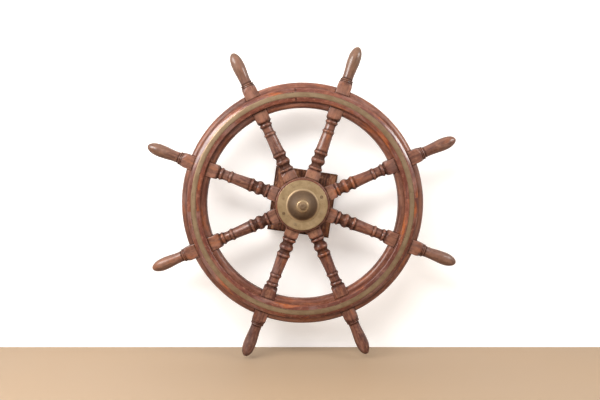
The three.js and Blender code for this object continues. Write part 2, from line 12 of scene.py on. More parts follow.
import bmesh
import bpy
import numpy as np
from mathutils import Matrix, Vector


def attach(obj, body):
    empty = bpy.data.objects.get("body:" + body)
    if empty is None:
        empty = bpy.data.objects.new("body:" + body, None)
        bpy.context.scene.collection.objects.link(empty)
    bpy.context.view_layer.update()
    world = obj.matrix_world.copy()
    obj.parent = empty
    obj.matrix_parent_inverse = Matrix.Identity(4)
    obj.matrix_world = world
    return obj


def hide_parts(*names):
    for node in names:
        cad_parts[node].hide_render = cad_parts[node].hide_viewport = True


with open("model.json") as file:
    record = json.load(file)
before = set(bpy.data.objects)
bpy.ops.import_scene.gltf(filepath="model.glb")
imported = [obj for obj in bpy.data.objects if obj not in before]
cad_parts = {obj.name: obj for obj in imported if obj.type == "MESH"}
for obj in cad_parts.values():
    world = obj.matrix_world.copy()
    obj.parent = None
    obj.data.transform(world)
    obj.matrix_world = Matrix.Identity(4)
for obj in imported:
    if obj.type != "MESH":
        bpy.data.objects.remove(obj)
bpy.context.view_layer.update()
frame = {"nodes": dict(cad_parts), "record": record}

MM = 0.001
RECORD = frame["record"]
AXLE = Vector(RECORD["behaviour"]["joints"][0]["pos_m"])
SLOT = {row["node"]: row["material_slot"] for row in RECORD["subparts"]}
BODY = {node: body for body, nodes in RECORD["behaviour"]["bodies"].items() for node in nodes}

# ---------------- reading the frame


def to_row(points):
    """Wheel axes (right, up, depth) to the row frame."""
    right, up, depth = np.moveaxis(np.asarray(points, float), -1, 0)
    return np.stack([AXLE.x + right, AXLE.y - depth, AXLE.z + up], axis=-1)


def mesh_points(mesh):
    """The corners of a mesh, in wheel axes."""
    places = np.empty(len(mesh.vertices) * 3, np.float32)
    mesh.vertices.foreach_get("co", places)
    x, y, z = places.reshape(-1, 3).astype(float).T
    return np.stack([x - AXLE.x, z - AXLE.z, AXLE.y - y], axis=-1)


def node_points(node):
    """The corners of a CAD node, in wheel axes."""
    return mesh_points(frame["nodes"][node].data)


def extent(node, centre=(0, 0)):
    """How far a CAD node reaches: its radii about a line parallel to the axle, and its depths."""
    right, up, depth = node_points(node).T
    radius = np.hypot(right - centre[0], up - centre[1])
    return SimpleNamespace(inner=radius.min(), outer=radius.max(), back=depth.min(), front=depth.max())


def half_turn(angle):
    """The same angle, from minus half a turn to half a turn."""
    return (angle + math.pi) % math.tau - math.pi


def sweep_of(node):
    """The angles at which a curved CAD node starts and ends, in radians."""
    right, up, _ = node_points(node).T
    angle = np.arctan2(up, right)
    middle = math.atan2(np.sin(angle).sum(), np.cos(angle).sum())
    turn = half_turn(angle - middle)
    return middle + turn.min(), middle + turn.max()


def direction_of(node):
    """The angle at which a CAD node reaches furthest from the axle."""
    right, up, _ = node_points(node).T
    furthest = np.argmax(np.hypot(right, up))
    return math.atan2(up[furthest], right[furthest])


def centre_of(node):
    """The middle of a CAD node's box, across the axle."""
    points = node_points(node)
    return tuple((points.min(axis=0) + points.max(axis=0))[:2] / 2)


SPOKES = range(1, 9)
HEADINGS = {number: direction_of(f"spoke_{number}") for number in SPOKES}
CHEEK_EDGE = extent("nave_front_cheek").outer
BAND = extent("brass_band_1")


def gap_to_next(number, side=1):
    """The angle from a spoke to the next one anticlockwise, or clockwise when side is -1."""
    neighbour = (number - 1 + side) % len(SPOKES) + 1
    return side * (HEADINGS[neighbour] - HEADINGS[number]) % math.tau


# ---------------- outlines

# Which of a curve's four times each step of its construction blends between.
BLENDS = (((0, 1), (1, 2), (2, 3)), ((0, 2), (1, 3)), ((1, 2),))
LEAST_GAP = 1e-9  # keeps coincident points of a curve apart in time
TINY = 1e-12  # keeps a length of nothing from dividing
RELIEF_FULL = 0.3  # the share of its reach at which relief counts as full
CORNER_STEPS = 5  # points round an eased corner


def unit(vectors):
    """The same directions, one long."""
    return vectors / np.maximum(np.linalg.norm(vectors, axis=-1, keepdims=True), TINY)


def samples(start, end, spacing):
    """How many points a stretch takes, at about the given spacing."""
    return max(2, math.ceil(np.linalg.norm(end - start) / spacing) + 1)


def curve(points, spacing):
    """A smooth curve through the given points, sampled about every spacing."""
    points = np.asarray(points, float)
    start, end = points[0], points[-1]
    if len(points) == 2:
        return start + np.linspace(0, 1, samples(start, end, spacing))[:, None] * (end - start)
    padded = np.vstack([2 * start - points[1], points, 2 * end - points[-2]])
    runs = []
    for places in zip(padded, padded[1:], padded[2:], padded[3:]):
        gaps = [max(np.linalg.norm(q - p), LEAST_GAP) ** 0.5 for p, q in zip(places, places[1:])]
        times = np.cumsum([0, *gaps])
        t = np.linspace(times[1], times[2], samples(places[1], places[2], spacing))[:-1, None]
        for step in BLENDS:
            places = [
                p + (q - p) * (t - times[i]) / (times[j] - times[i])
                for p, q, (i, j) in zip(places, places[1:], step)
            ]
        runs.append(places[0])
    return np.vstack([*runs, points[-1:]])


def outline(runs, spacing):
    """An outline of smooth runs that meet at sharp corners."""
    return np.vstack([curve(run, spacing) for run in runs])


def joined(*parts):
    """Runs for an outline, from points and lists of points, each joined to the next by a straight line."""
    runs = []
    end = None
    for part in parts:
        run = part if isinstance(part, list) else [part]
        if end is not None and end != run[0]:
            runs.append([end, run[0]])
        if len(run) > 1:
            runs.append(run)
        end = run[-1]
    return runs


def box_corners(left, right, low, high):
    """The corners of a rectangle, in order round it from (left, low) to (right, low) and on."""
    return [(left, low), (right, low), (right, high), (left, high)]


def eased(corners, radius, steps=CORNER_STEPS):
    """A closed polygon with each corner rounded. radius is one number, or one for each corner."""
    corners = np.asarray(corners, float)
    radii = np.broadcast_to(radius, len(corners))
    points = []
    for before, corner, after, ease in zip(np.roll(corners, 1, 0), corners, np.roll(corners, -1, 0), radii):
        to_before, to_after = unit(before - corner), unit(after - corner)
        half = math.acos(np.clip(to_before @ to_after, -1, 1)) / 2
        middle = corner + unit(to_before + to_after) * ease / math.sin(half)
        start, end = (corner + away * ease / math.tan(half) - middle for away in (to_before, to_after))
        for share in np.linspace(0, 1, steps):
            points.append(middle + unit(start * (1 - share) + end * share) * ease)
    return np.array(points)


def filled(points, spacing):
    """A closed outline with more points along its long straight stretches."""
    return np.vstack([curve([a, b], spacing)[:-1] for a, b in zip(points, np.roll(points, -1, 0))])


def relief(points, reach, closed=True):
    """How far each point of an outline stands out (up to 1) or lies in a hollow (down to -1)."""
    steps = np.linalg.norm(np.diff(points, axis=0, append=points[:1]), axis=1)
    place_on = np.concatenate([[0], np.cumsum(steps[:-1])])
    gap = np.abs(place_on[:, None] - place_on[None, :])
    share = (steps + np.roll(steps, 1)) / 2
    if closed:
        gap = np.minimum(gap, steps.sum() - gap)
    else:
        share[[0, -1]] = share[1] / 2, share[-2] / 2
    weight = np.exp(-0.5 * (gap / reach) ** 2) * share
    smooth = weight @ points / weight.sum(axis=1)[:, None]
    ahead = np.roll(smooth, -1, 0) - np.roll(smooth, 1, 0)
    if not closed:
        ahead[0], ahead[-1] = smooth[1] - smooth[0], smooth[-1] - smooth[-2]
    normal = unit(np.stack([ahead[:, 1], -ahead[:, 0]], axis=-1))
    x, y = points.T
    turning = np.sum(x * np.roll(y, -1) - np.roll(x, -1) * y)
    outward = math.copysign(1, turning) if closed else -1
    return np.clip(outward * np.sum((points - smooth) * normal, axis=1) / (RELIEF_FULL * reach), -1, 1)


# ---------------- meshes

SHARP_ANGLE = math.radians(38)
WELD = 1e-6
WAVES = 5  # how many waves make up a wobble
WAVE_SPREAD = 1.7  # how much longer than its nominal length a typical wave is
DENT_SIZES = (0.6, 1.4)  # the smallest and largest dents, against the nominal size
BATCH = 4000  # how many points are compared with an outline at a time
GRAIN_SHIFT = 3  # how far off a piece's grain may be taken from, so that no two are alike


def wobble(points, wavelength, seed):
    """Smooth noise from -1 to 1 at each point, made of a few waves in random directions."""
    random = np.random.default_rng(seed)
    waves = random.normal(size=(WAVES, 3)) * math.tau / wavelength / WAVE_SPREAD
    phases = random.uniform(0, math.tau, WAVES)
    return np.sin(points @ waves.T + phases).mean(axis=1)


def dents(points, count, size, seed):
    """Shares from 0 to 1 of the depth of small round dents, at random points of the surface."""
    random = np.random.default_rng(seed)
    share = np.zeros(len(points))
    for centre in points[random.integers(0, len(points), count)]:
        distance = np.linalg.norm(points - centre, axis=1)
        share = np.maximum(share, np.exp(-((distance / (size * random.uniform(*DENT_SIZES))) ** 2)))
    return share


def loft(name, sections, closed):
    """An object through sections, an array [section, corner, axis] of closed outlines in wheel axes.

    A closed loft joins its last section to its first. An open one has a flat face at each end.
    """
    count, corners = sections.shape[:2]
    index = np.arange(count * corners).reshape(count, corners)
    here = index if closed else index[:-1]
    ahead = np.roll(index, -1, axis=0) if closed else index[1:]
    quads = np.stack([here, np.roll(here, -1, axis=1), np.roll(ahead, -1, axis=1), ahead], axis=-1)
    faces = quads.reshape(-1, 4).tolist()
    if not closed:
        faces += [index[0][::-1].tolist(), index[-1].tolist()]
    mesh = bpy.data.meshes.new(name)
    mesh.from_pydata(to_row(sections.reshape(-1, 3)).tolist(), [], faces)
    close_up(mesh)
    return place(mesh)


def shade(mesh):
    """Shades a mesh smooth between its sharp edges."""
    mesh.shade_smooth()
    mesh.set_sharp_from_angle(angle=SHARP_ANGLE)


def close_up(mesh):
    """Welds coincident corners, turns every face outwards and shades the mesh."""
    work = bmesh.new()
    work.from_mesh(mesh)
    bmesh.ops.remove_doubles(work, verts=work.verts, dist=WELD)
    bmesh.ops.dissolve_degenerate(work, edges=work.edges, dist=WELD)
    bmesh.ops.recalc_face_normals(work, faces=work.faces)
    work.to_mesh(mesh)
    work.free()
    shade(mesh)


def place(mesh):
    """An object in the scene that shows a mesh."""
    obj = bpy.data.objects.new(mesh.name, mesh)
    bpy.context.scene.collection.objects.link(obj)
    return obj


def carve(obj, cutters):
    """Cuts other closed objects out of obj, and deletes them."""
    for cutter in cutters:
        modifier = obj.modifiers.new("carve", "BOOLEAN")
        modifier.operation = "DIFFERENCE"
        modifier.solver = "EXACT"
        modifier.object = cutter
    graph = bpy.context.evaluated_depsgraph_get()
    mesh = bpy.data.meshes.new_from_object(obj.evaluated_get(graph), depsgraph=graph)
    obj.modifiers.clear()
    obj.data = mesh
    for cutter in cutters:
        bpy.data.objects.remove(cutter)
    shade(mesh)


def store(mesh, name, values):
    """Keeps a number, or a vector, for each corner of the mesh, for its material to read."""
    kind, key = ("FLOAT_VECTOR", "vector") if np.ndim(values) == 2 else ("FLOAT", "value")
    layer = mesh.attributes.new(name, kind, "POINT")
    layer.data.foreach_set(key, np.asarray(values, np.float32).ravel())


def even(value):
    """The same value at every point of a piece."""
    return lambda points: np.full(len(points), float(value))


def straight_grain(points):
    """Texture places that are the wheel's own axes."""
    return points


def finish_piece(obj, node, wear=even(0), grain=straight_grain, handled=even(0), pale=even(0), tone=None):
    """Dresses a piece that stands for a CAD node, and lets it ride on the node's body.

    wear(points) is from -1 in hollows, darkened with grime and painted shade, to 1 on rubbed edges.
    grain(points) gives texture places: along the grain, then across it. handled(points) and pale(points) are
    from 0 to 1, where hands have dulled the wood and where it shows bare. All four read points in wheel axes.
    tone is how light the whole piece is, from 0 to 1, and is drawn at random where it isn't given.
    """
    mesh = obj.data
    points = mesh_points(mesh)
    random = np.random.default_rng([ord(letter) for letter in node])
    store(mesh, "grain", grain(points) + random.uniform(-GRAIN_SHIFT, GRAIN_SHIFT, 3))
    store(mesh, "wear", wear(points))
    store(mesh, "handled", handled(points))
    store(mesh, "pale", pale(points))
    store(mesh, "tone", even(random.uniform(0, 1) if tone is None else tone)(points))
    mesh.materials.clear()
    mesh.materials.append(MATERIALS["rivet_brass" if node.startswith("hub_rivet") else SLOT[node]])
    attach(obj, BODY[node])
    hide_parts(node)


def nearest_wear(outline_points, values, centre=(0, 0)):
    """A wear function for a round piece: each point takes the value of its nearest outline point."""

    def wear(points):
        radius = np.hypot(points[:, 0] - centre[0], points[:, 1] - centre[1])
        section = np.stack([radius, points[:, 2]], axis=-1)
        nearest = []
        for start in range(0, len(section), BATCH):
            away = section[start : start + BATCH, None, :] - outline_points[None, :, :]
            nearest.append(np.linalg.norm(away, axis=2).argmin(axis=1))
        return values[np.concatenate(nearest)]

    return wear


# ---------------- materials


class Shader:
    """Builds the node tree of a material or a world. Inputs are numbers or the outputs of other nodes."""

    def __init__(self, owner):
        owner.use_nodes = True
        self.owner = owner
        self.tree = owner.node_tree
        self.tree.nodes.clear()

    def node(self, kind, inputs=(), **settings):
        """A new node's outputs."""
        node = self.tree.nodes.new(f"ShaderNode{kind}")
        for key, value in settings.items():
            setattr(node, key, value)
        for key, value in dict(inputs).items():
            if isinstance(value, bpy.types.NodeSocket):
                self.tree.links.new(value, node.inputs[key])
            else:
                node.inputs[key].default_value = value
        return node.outputs

    def stored(self, name):
        return self.node("Attribute", attribute_name=name)["Vector" if name == "grain" else "Fac"]

    def shifted(self, vector, offset):
        return self.node("VectorMath", {0: vector, 1: offset}, operation="ADD")["Vector"]

    def noise(self, vector, waves, detail=3, roughness=0.55):
        """Noise from 0 to 1, with the given waves per metre along each axis of vector."""
        stretched = self.node("VectorMath", {0: vector, 1: waves}, operation="MULTIPLY")["Vector"]
        inputs = {"Vector": stretched, "Scale": 1, "Detail": detail, "Roughness": roughness}
        return self.node("TexNoise", inputs)["Fac"]

    def math(self, operation, a, b):
        return self.node("Math", {0: a, 1: b}, operation=operation)["Value"]

    def span(self, value, low, high, to_low=0.0, to_high=1.0, kind="SMOOTHSTEP"):
        """value from low to high becomes to_low to to_high, and stays inside them."""
        inputs = {"Value": value, "From Min": low, "From Max": high, "To Min": to_low, "To Max": to_high}
        return self.node("MapRange", inputs, interpolation_type=kind)["Result"]

    def mix(self, share, a, b, blend="MIX"):
        return self.node("Mix", {0: share, 6: a, 7: b}, data_type="RGBA", blend_type=blend)[2]

    def layered(self, base, layers):
        """Colours over a base. Each layer is (pattern, low, high, least, most, colour, mask).

        A layer's share grows from least to most as its pattern goes from low to high, and is multiplied by
        its mask where it has one.
        """
        for pattern, low, high, least, most, tint, *mask in layers:
            share = self.span(pattern, low, high, least, most)
            for part in mask:
                share = self.math("MULTIPLY", part, share)
            base = self.mix(share, base, tint)
        return base

    def bumped(self, *bumps):
        """A normal from bumps, each (height, strength, distance), laid one over another."""
        normal = {}
        for height, strength, distance in bumps:
            inputs = {"Height": height, "Strength": strength, "Distance": distance, **normal}
            normal = {"Normal": self.node("Bump", inputs)["Normal"]}
        return normal["Normal"]

    def principled(self, **inputs):
        """A Principled surface. The names of its inputs are written with _ for a space."""
        named = {key.replace("_", " "): value for key, value in inputs.items()}
        return self.node("BsdfPrincipled", named)["BSDF"]

    def shown(self, surface, kind="OutputMaterial"):
        self.node(kind, {"Surface": surface})
        return self.owner


def colour(red, green, blue):
    """A colour for a node, from its sRGB numbers out of 255."""

    def linear(value):
        share = value / 255
        return share / 12.92 if share <= 0.04045 else ((share + 0.055) / 1.055) ** 2.4

    return (linear(red), linear(green), linear(blue), 1)


BLACK = colour(0, 0, 0)
# Dark for dirt in pores, and for grime and painted shade in hollows.
GRIME_AND_SHADE = colour(34, 20, 15)
HAZE_AND_SHEEN = colour(132, 104, 96)  # old varnish gone cloudy, and painted sheen
HANDLED = colour(112, 86, 67)  # where hands have rubbed the colour out
AMBER = colour(172, 92, 38)  # where the varnish is thick over pale wood

# Patterns in wood: waves per metre along the grain and across it, detail and roughness.
BEND = ((7, 14, 14), 2)
FIGURE = ((4, 42, 42), 4, 0.6)
STREAK = ((11, 230, 230), 5, 0.7)
PORE = ((60, 1500, 1500), 2, 0.5)
PATCH = ((6.5, 26, 26), 3, 0.6)
CLOUD = ((9, 20, 20), 4, 0.65)
MOTTLE = ((56, 84, 84), 4, 0.7)
SPECK = ((150, 190, 190), 3, 0.7)
CLOUD_SHIFT = (5, 7, 11)  # these two keep the clouds and the mottling apart from the other patterns
MOTTLE_SHIFT = (3, 2, 9)
SWAY = 0.006  # metres that the grain bends to either side
TONES = (0.86, 1.16)  # how bright the darkest and lightest pieces are
COAT_ROUGHNESS = 0.14

# Patterns in metal, in the same way.
TARNISH = ((26, 26, 26), 5, 0.62)
FLECK = ((240, 240, 240), 3, 0.6)
SCRATCH = ((160, 160, 160), 4, 0.75)


def wood(name, dark, middle, light, bare, gloss, amber, haze, shine):
    """Old varnished hardwood.

    There is figure, with streaks and pores along the grain. The varnish is amber in some places and
    cloudy in others, with painted sheen. Hollows are darkened with grime and painted shade, and edges are
    rubbed. gloss is about how rough the smoothest places are, amber and haze are how far those colours cover
    the wood, and shine is how much coat there is.
    """
    shader = Shader(bpy.data.materials.new(name))
    grain, wear, handled, pale = (shader.stored(key) for key in ("grain", "wear", "handled", "pale"))
    dark, middle, light, bare = (colour(*tint) for tint in (dark, middle, light, bare))

    sway = shader.span(shader.noise(grain, *BEND), 0, 1, -SWAY, SWAY)
    bent = shader.shifted(grain, shader.node("CombineXYZ", {"Y": sway})[0])
    figure, streak, pore = (shader.noise(bent, *pattern) for pattern in (FIGURE, STREAK, PORE))
    patch, speck = (shader.noise(grain, *pattern) for pattern in (PATCH, SPECK))
    cloud = shader.noise(shader.shifted(grain, CLOUD_SHIFT), *CLOUD)
    mottle = shader.noise(shader.shifted(grain, MOTTLE_SHIFT), *MOTTLE)

    base = shader.layered(dark, (
        (streak, 0.36, 0.64, 0, 1, middle),
        (figure, 0.44, 0.7, 0, 0.85, light),
        (patch, 0.54, 0.7, 0, amber, AMBER),
        (cloud, 0.62, 0.42, 0.25, 1, bare, pale),
        (patch, 0.46, 0.3, 0, 0.6, dark),
        (mottle, 0.5, 0.36, 0, 0.45, dark),
        (mottle, 0.52, 0.66, 0, 0.6, bare),
        # Cloudy varnish, and painted sheen.
        (cloud, 0.5, 0.7, 0, haze, HAZE_AND_SHEEN),
        (streak, 0.3, 0.6, 0.3, 0.9, HANDLED, handled),
        (pore, 0.58, 0.72, 0, 0.5, GRIME_AND_SHADE),
    ))
    lift = shader.span(shader.stored("tone"), 0, 1, *TONES)
    grey = shader.node("CombineColor", {0: lift, 1: lift, 2: lift})[0]
    base = shader.mix(1.0, base, grey, "MULTIPLY")

    # Hollows are darkened: grime, and painted shade where they would be shaded.
    hollow = shader.math("MULTIPLY", shader.span(wear, 0.1, -0.55), shader.span(speck, 0.2, 0.55, 0.6, 1))
    base = shader.mix(shader.math("MULTIPLY", hollow, 0.68), base, GRIME_AND_SHADE)
    base = shader.layered(base, [(speck, 0.35, 0.6, 0, 0.35, bare, shader.span(wear, 0.35, 1))])

    rough = shader.span(cloud, 0.34, 0.68, gloss - 0.04, gloss + 0.2)
    rough = shader.math("ADD", rough, shader.math("MULTIPLY", hollow, 0.2))
    rough = shader.math("ADD", rough, shader.math("MULTIPLY", handled, 0.06))
    clear, clean = shader.span(cloud, 0.72, 0.36, 0.6 * shine, shine), shader.span(hollow, 0, 1, 1, 0.15)
    return shader.shown(shader.principled(
        Base_Color=base,
        Roughness=rough,
        Normal=shader.bumped((streak, 0.12, 0.4 * MM), (pore, 0.2, 0.15 * MM), (cloud, 0.2, 1.0 * MM)),
        Coat_Weight=shader.math("MULTIPLY", clear, clean),
        Coat_Roughness=COAT_ROUGHNESS,
        Specular_IOR_Level=shader.span(hollow, 0, 1, 0.45, 0.1),
    ))


def metal(name, clean, dull, spot, roughness, patina=0.0, polished_and_highlight=None):
    """Old metal: cloudy tarnish, small dark spots, fine scratches and grimy hollows.

    patina is how far a dull film hides the metal, and polished is its colour where it is rubbed, which on the
    dome and its finial is a painted highlight.
    """
    shader = Shader(bpy.data.materials.new(name))
    grain, wear = shader.stored("grain"), shader.stored("wear")
    clean, dull, spot, polished_and_highlight = (colour(*tint) for tint in (clean, dull, spot, polished_and_highlight or clean))
    cloud, fleck, scratch = (shader.noise(grain, *pattern) for pattern in (TARNISH, FLECK, SCRATCH))
    # Low wear darkens the metal and high wear brightens it: on the dome the darker side is painted shade, and
    # on the dome and its finial the bright edge is a painted highlight.
    hollow, rubbed = shader.span(wear, -0.1, -0.8), shader.span(wear, 0.35, 1)

    base = shader.layered(clean, ((cloud, 0.35, 0.68, 0, 1, dull), (fleck, 0.62, 0.74, 0, 0.6, spot)))
    base = shader.mix(shader.math("MULTIPLY", hollow, 0.8), base, spot)
    base = shader.mix(shader.math("MULTIPLY", rubbed, 0.7), base, polished_and_highlight)
    film = shader.math("MULTIPLY", shader.span(wear, 0.35, 1, 1, 0.25), patina)

    rough = shader.span(cloud, 0.3, 0.7, roughness - 0.06, roughness + 0.1)
    rough = shader.math("ADD", rough, shader.span(scratch, 0.35, 0.7, -0.03, 0.06))
    rough = shader.math("ADD", rough, shader.math("MULTIPLY", hollow, 0.15))
    rough = shader.math("SUBTRACT", rough, shader.math("MULTIPLY", rubbed, 0.08))
    return shader.shown(shader.principled(
        Base_Color=base,
        Metallic=shader.math("SUBTRACT", 1.0, film),
        Roughness=rough,
        Normal=shader.bumped((scratch, 0.15, 0.12 * MM), (cloud, 0.25, 0.6 * MM)),
    ))


STAGE_MOTTLE = (1.7, 1.7, 1.7)  # waves per metre
STAGE_GREY = colour(150, 145, 140)
STAGE_IN_GLOSS = 0.3  # how much of its glow the stage keeps in shiny surfaces


def plain(name, tint, roughness, glow=0.0):
    """A plain wall or floor, seen from its front only, with a trace of mottling and a glow of its own.

    It shows only dimly in shiny surfaces.
    """
    shader = Shader(bpy.data.materials.new(name))
    surface = shader.node("NewGeometry")
    cloud = shader.noise(surface["Position"], STAGE_MOTTLE)
    reflected = shader.node("LightPath")["Is Glossy Ray"]
    base = shader.layered(tint, [(cloud, 0.3, 0.7, 0, 0.05, STAGE_GREY)])
    base = shader.mix(shader.math("MULTIPLY", reflected, 0.6), base, BLACK)
    lit = shader.span(reflected, 0, 1, glow, STAGE_IN_GLOSS * glow)
    face = shader.principled(Base_Color=base, Roughness=roughness, Emission_Color=tint, Emission_Strength=lit)
    clear = shader.node("BsdfTransparent")["BSDF"]
    return shader.shown(shader.node("MixShader", {0: surface["Backfacing"], 1: face, 2: clear})["Shader"])


# Each wood's dark, middle, light and bare colours, then its gloss, amber, haze and shine.
WOODS = {
    "spoke_wood": ((64, 28, 22), (120, 71, 56), (143, 93, 76), (148, 103, 80), 0.32, 0.5, 0.35, 0.7),
    "rim_wood": ((80, 42, 31), (118, 70, 52), (138, 92, 72), (126, 86, 68), 0.4, 0.4, 0.4, 0.35),
    "facing_wood": ((78, 36, 27), (103, 56, 43), (124, 72, 52), (142, 96, 76), 0.27, 0.65, 0.5, 1.0),
    "box_wood": ((50, 24, 17), (138, 86, 64), (176, 120, 84), (180, 130, 96), 0.46, 0.8, 0.1, 0.3),
}
# Each metal's clean, dull and spot colours, then its roughness, its patina and its polished colour, which on
# the dome and its finial is a painted highlight.
METALS = {
    "band_brass": ((174, 148, 118), (144, 118, 90), (92, 68, 50), 0.4, 0.3),
    "hub_brass": ((188, 162, 125), (160, 134, 98), (120, 94, 66), 0.4, 0.4),
    "cap_brass": ((136, 111, 82), (117, 93, 65), (66, 47, 34), 0.5, 0.88, (216, 188, 148)),
    "rivet_brass": ((186, 162, 126), (156, 130, 96), (96, 72, 50), 0.42, 0.4),
    "bearing_bronze": ((172, 126, 74), (128, 92, 54), (60, 42, 26), 0.36),
    "shaft_steel": ((150, 148, 144), (112, 106, 100), (66, 50, 40), 0.34),
    "housing_iron": ((62, 60, 58), (46, 44, 43), (70, 46, 32), 0.6),
}
MATERIALS = {name: wood(name, *look) for name, look in WOODS.items()}
MATERIALS.update((name, metal(name, *look)) for name, look in METALS.items())

# ---------------- round pieces

TURNED_REACH = 2 * MM  # how far along a turned outline its wear is worked out over
OUTLINE_SPACING = 4 * MM  # along plain outlines
EVEN_TARNISH = ((0, 0),)


def round_sections(points, around, centre=(0, 0), limit=None):
    """Sections of a piece turned about a line parallel to the axle, from [radius, depth] points.

    limit(angle), where it is given, is the most that the radius may be in that direction.
    """
    sections = []
    for angle in np.linspace(0, math.tau, around, endpoint=False):
        radius = points[:, 0] if limit is None else np.minimum(points[:, 0], limit(angle))
        right = centre[0] + radius * math.cos(angle)
        up = centre[1] + radius * math.sin(angle)
        sections.append(np.stack([right, up, points[:, 1]], axis=-1))
    return np.array(sections)


def turned_piece(node, points, around=96, centre=(0, 0), limit=None, grime=1.0, tarnish=EVEN_TARNISH):
    """A round piece that stands for a CAD node, from a closed [radius, depth] outline.

    tarnish adds to its wear, and on the dome and its finial also painted shade and a painted highlight: each
    row is a distance from its axis, in millimetres, and what is added there.
    """
    obj = loft(f"{node}.fine", round_sections(points, around, centre, limit), closed=True)
    worn = relief(points, TURNED_REACH) * grime + np.interp(points[:, 0] / MM, *np.array(tarnish).T)
    finish_piece(obj, node, nearest_wear(points, worn, centre))


def ring_outline(node, ease):
    """An eased ring in a CAD node's place."""
    size = extent(node)
    return filled(eased(box_corners(size.inner, size.outer, size.back, size.front), ease), OUTLINE_SPACING)


def rod_outline(node, ease):
    """An eased rod in a CAD node's place: it starts and ends on its own axis."""
    size = extent(node)
    corners = box_corners(0, size.outer, size.back, size.front)
    return filled(eased(corners, [WELD, ease, ease, WELD]), OUTLINE_SPACING)


# ---------------- spokes

# The turned outline, in millimetres: each row is one smooth run of (distance from the axle, radius), and
# the outline has a sharp corner where one run ends and the next begins. SQUARE marks an unturned block.
SQUARE = 42
TURNED_RUNS = (
    ((60, SQUARE), (117, SQUARE)),
    ((117, SQUARE), (121, 38), (126, 33.4), (130.5, 28.4), (134.2, 24.0)),  # shoulder of the root block
    ((134.4, 23.0), (136.4, 23.2)),
    ((136.6, 24.6), (139, 26.7), (142, 27.4), (144.6, 26.6)),  # collar
    ((144.8, 25.2), (148, 22.5), (152, 20.5), (155.5, 19.8), (158, 20.4)),  # cove
    ((158.2, 20.9), (161, 22.6), (165, 25.2), (169, 27.0), (172.5, 27.4), (176, 26.3), (180, 23.5),
     (183, 21.8)),  # vase
    ((183.2, 21.2), (188, 20.0), (191.6, 20.7)),
    ((191.8, 21.4), (193.4, 22.2), (194.6, 22.1)),  # bead under the flare
    ((194.8, 22.6), (198.5, 25.5), (202, 26.4), (204.6, 25.7)),  # flared collar
    ((204.8, 24.7), (206.6, 24.7)),
    ((206.8, 24.0), (211, 23.2), (222, 22.3), (240, 21.3), (258, 20.5), (276.4, 20.0)),  # long taper
    ((276.6, 20.4), (279.2, 20.5)),
    ((279.4, 21.4), (282, 22.8), (285.6, 22.8), (288, 21.2)),  # ring
    ((288.2, 20.1), (290.4, 19.9)),
    ((290.6, 19.2), (303, 18.8), (312, 19.2)),  # short shaft
    ((312.2, 20.0), (314.6, 20.2)),
    ((314.8, 21.4), (318, 23.3), (321, 23.5), (323.6, 22.4)),  # ring
    ((323.8, 21.0), (326.2, 20.5), (328.4, 20.9)),
    ((328.6, 21.8), (331.5, 25.0), (336, 30.0), (341, 34.2), (346, 37.6), (350, SQUARE)),  # shoulder
    ((350, SQUARE), (450, SQUARE)),
    ((450, SQUARE), (455, 37), (461, 32.8), (467, 28.6), (471.6, 25.6)),
    ((471.8, 24.1), (474.5, 24.4), (477.4, 23.7)),  # neck mouldings
    ((477.6, 22.5), (479, 22.1), (480, 22.6)),
    ((480.2, 24.1), (481.6, 24.5), (483.4, 23.4)),
    ((483.6, 21.3), (486.6, 20.2)),
)
HANDLE_FOOT = 486.6 * MM
# The handle's radius, in millimetres, at each share of its length, up to its rounded end.
HANDLE_SWELL = (
    (0, 20.2), (0.05, 19.9), (0.12, 19.8), (0.22, 20.4), (0.31, 21.3), (0.41, 22.4), (0.5, 23.2),
    (0.58, 23.5), (0.64, 23.4),
)
HANDLE_END = 47 * MM  # length of the rounded end, which is half an ellipse
END_STEPS = 28  # points along the rounded end
# Half the width of the square bar at distances from the axle, in millimetres. Past the neck it has no say.
BAR_TAPER = ((458, 26), (467, 25.8), (472, 25.4), (480, 60), (640, 60))
# How much darker the turning is made at distances from the axle, in millimetres, as grime and painted shade:
# most between its mouldings.
GRIMY_AND_SHADED = (
    (128, 0), (137, 0.5), (204, 0.5), (216, 0), (308, 0), (315, 0.4), (330, 0.4), (338, 0), (466, 0),
    (474, 0.4), (484, 0.4), (492, 0),
)
# Angles round a quarter of a spoke, in degrees, closer together near the corner of the square bar.
QUARTER = (0, 8, 16, 23, 29, 34, 38, 41, 43.2, 45, 46.8, 49, 52, 56, 61, 67, 74, 82)
SPOKE_SPACING = 1.8 * MM
ROOT_SPACING = 6 * MM  # along the root, which isn't turned
ROOT_GAP = 0.15 * MM  # half the joint between two roots
SLEEVE_GAP = 0.4 * MM
LEAST_HALF = 1 * MM  # of the root's width, at its point
LEAST_RADIUS = 0.05 * MM  # at the handle's tip
NOTCH_GAP = 1 * MM  # at each side of the facings, where they cross the bar
ARRIS = 26  # the higher, the sharper the bar's edges
MEETING = 60  # the higher, the sharper the edge where the turning meets the bar
BLOCK_RADIUS = 30 * MM  # where the spoke's outline is further out than this, it is a square block
BLOCK_WEAR = 0.9  # how rubbed the blocks' edges are, and how dirty they are at the seams
ARRIS_REACH = 4  # degrees to each side of a corner that are rubbed
SEAM_REACH = 5 * MM  # how far dirt spreads from where other pieces meet the spoke
PALE_REACH = (130 * MM, 340 * MM)  # the blocks are barest before the first, and least bare past the second
SPOKE_RELIEF = (1.2 * MM, 3.4 * MM)  # spacing and reach at which the turning's wear is worked out
GRIP_FADE = 60 * MM  # from the handle's foot to where hands have worn it fully
LEAST_HANDLED = 0.3  # the share of a handle's wear that is found all along the spoke
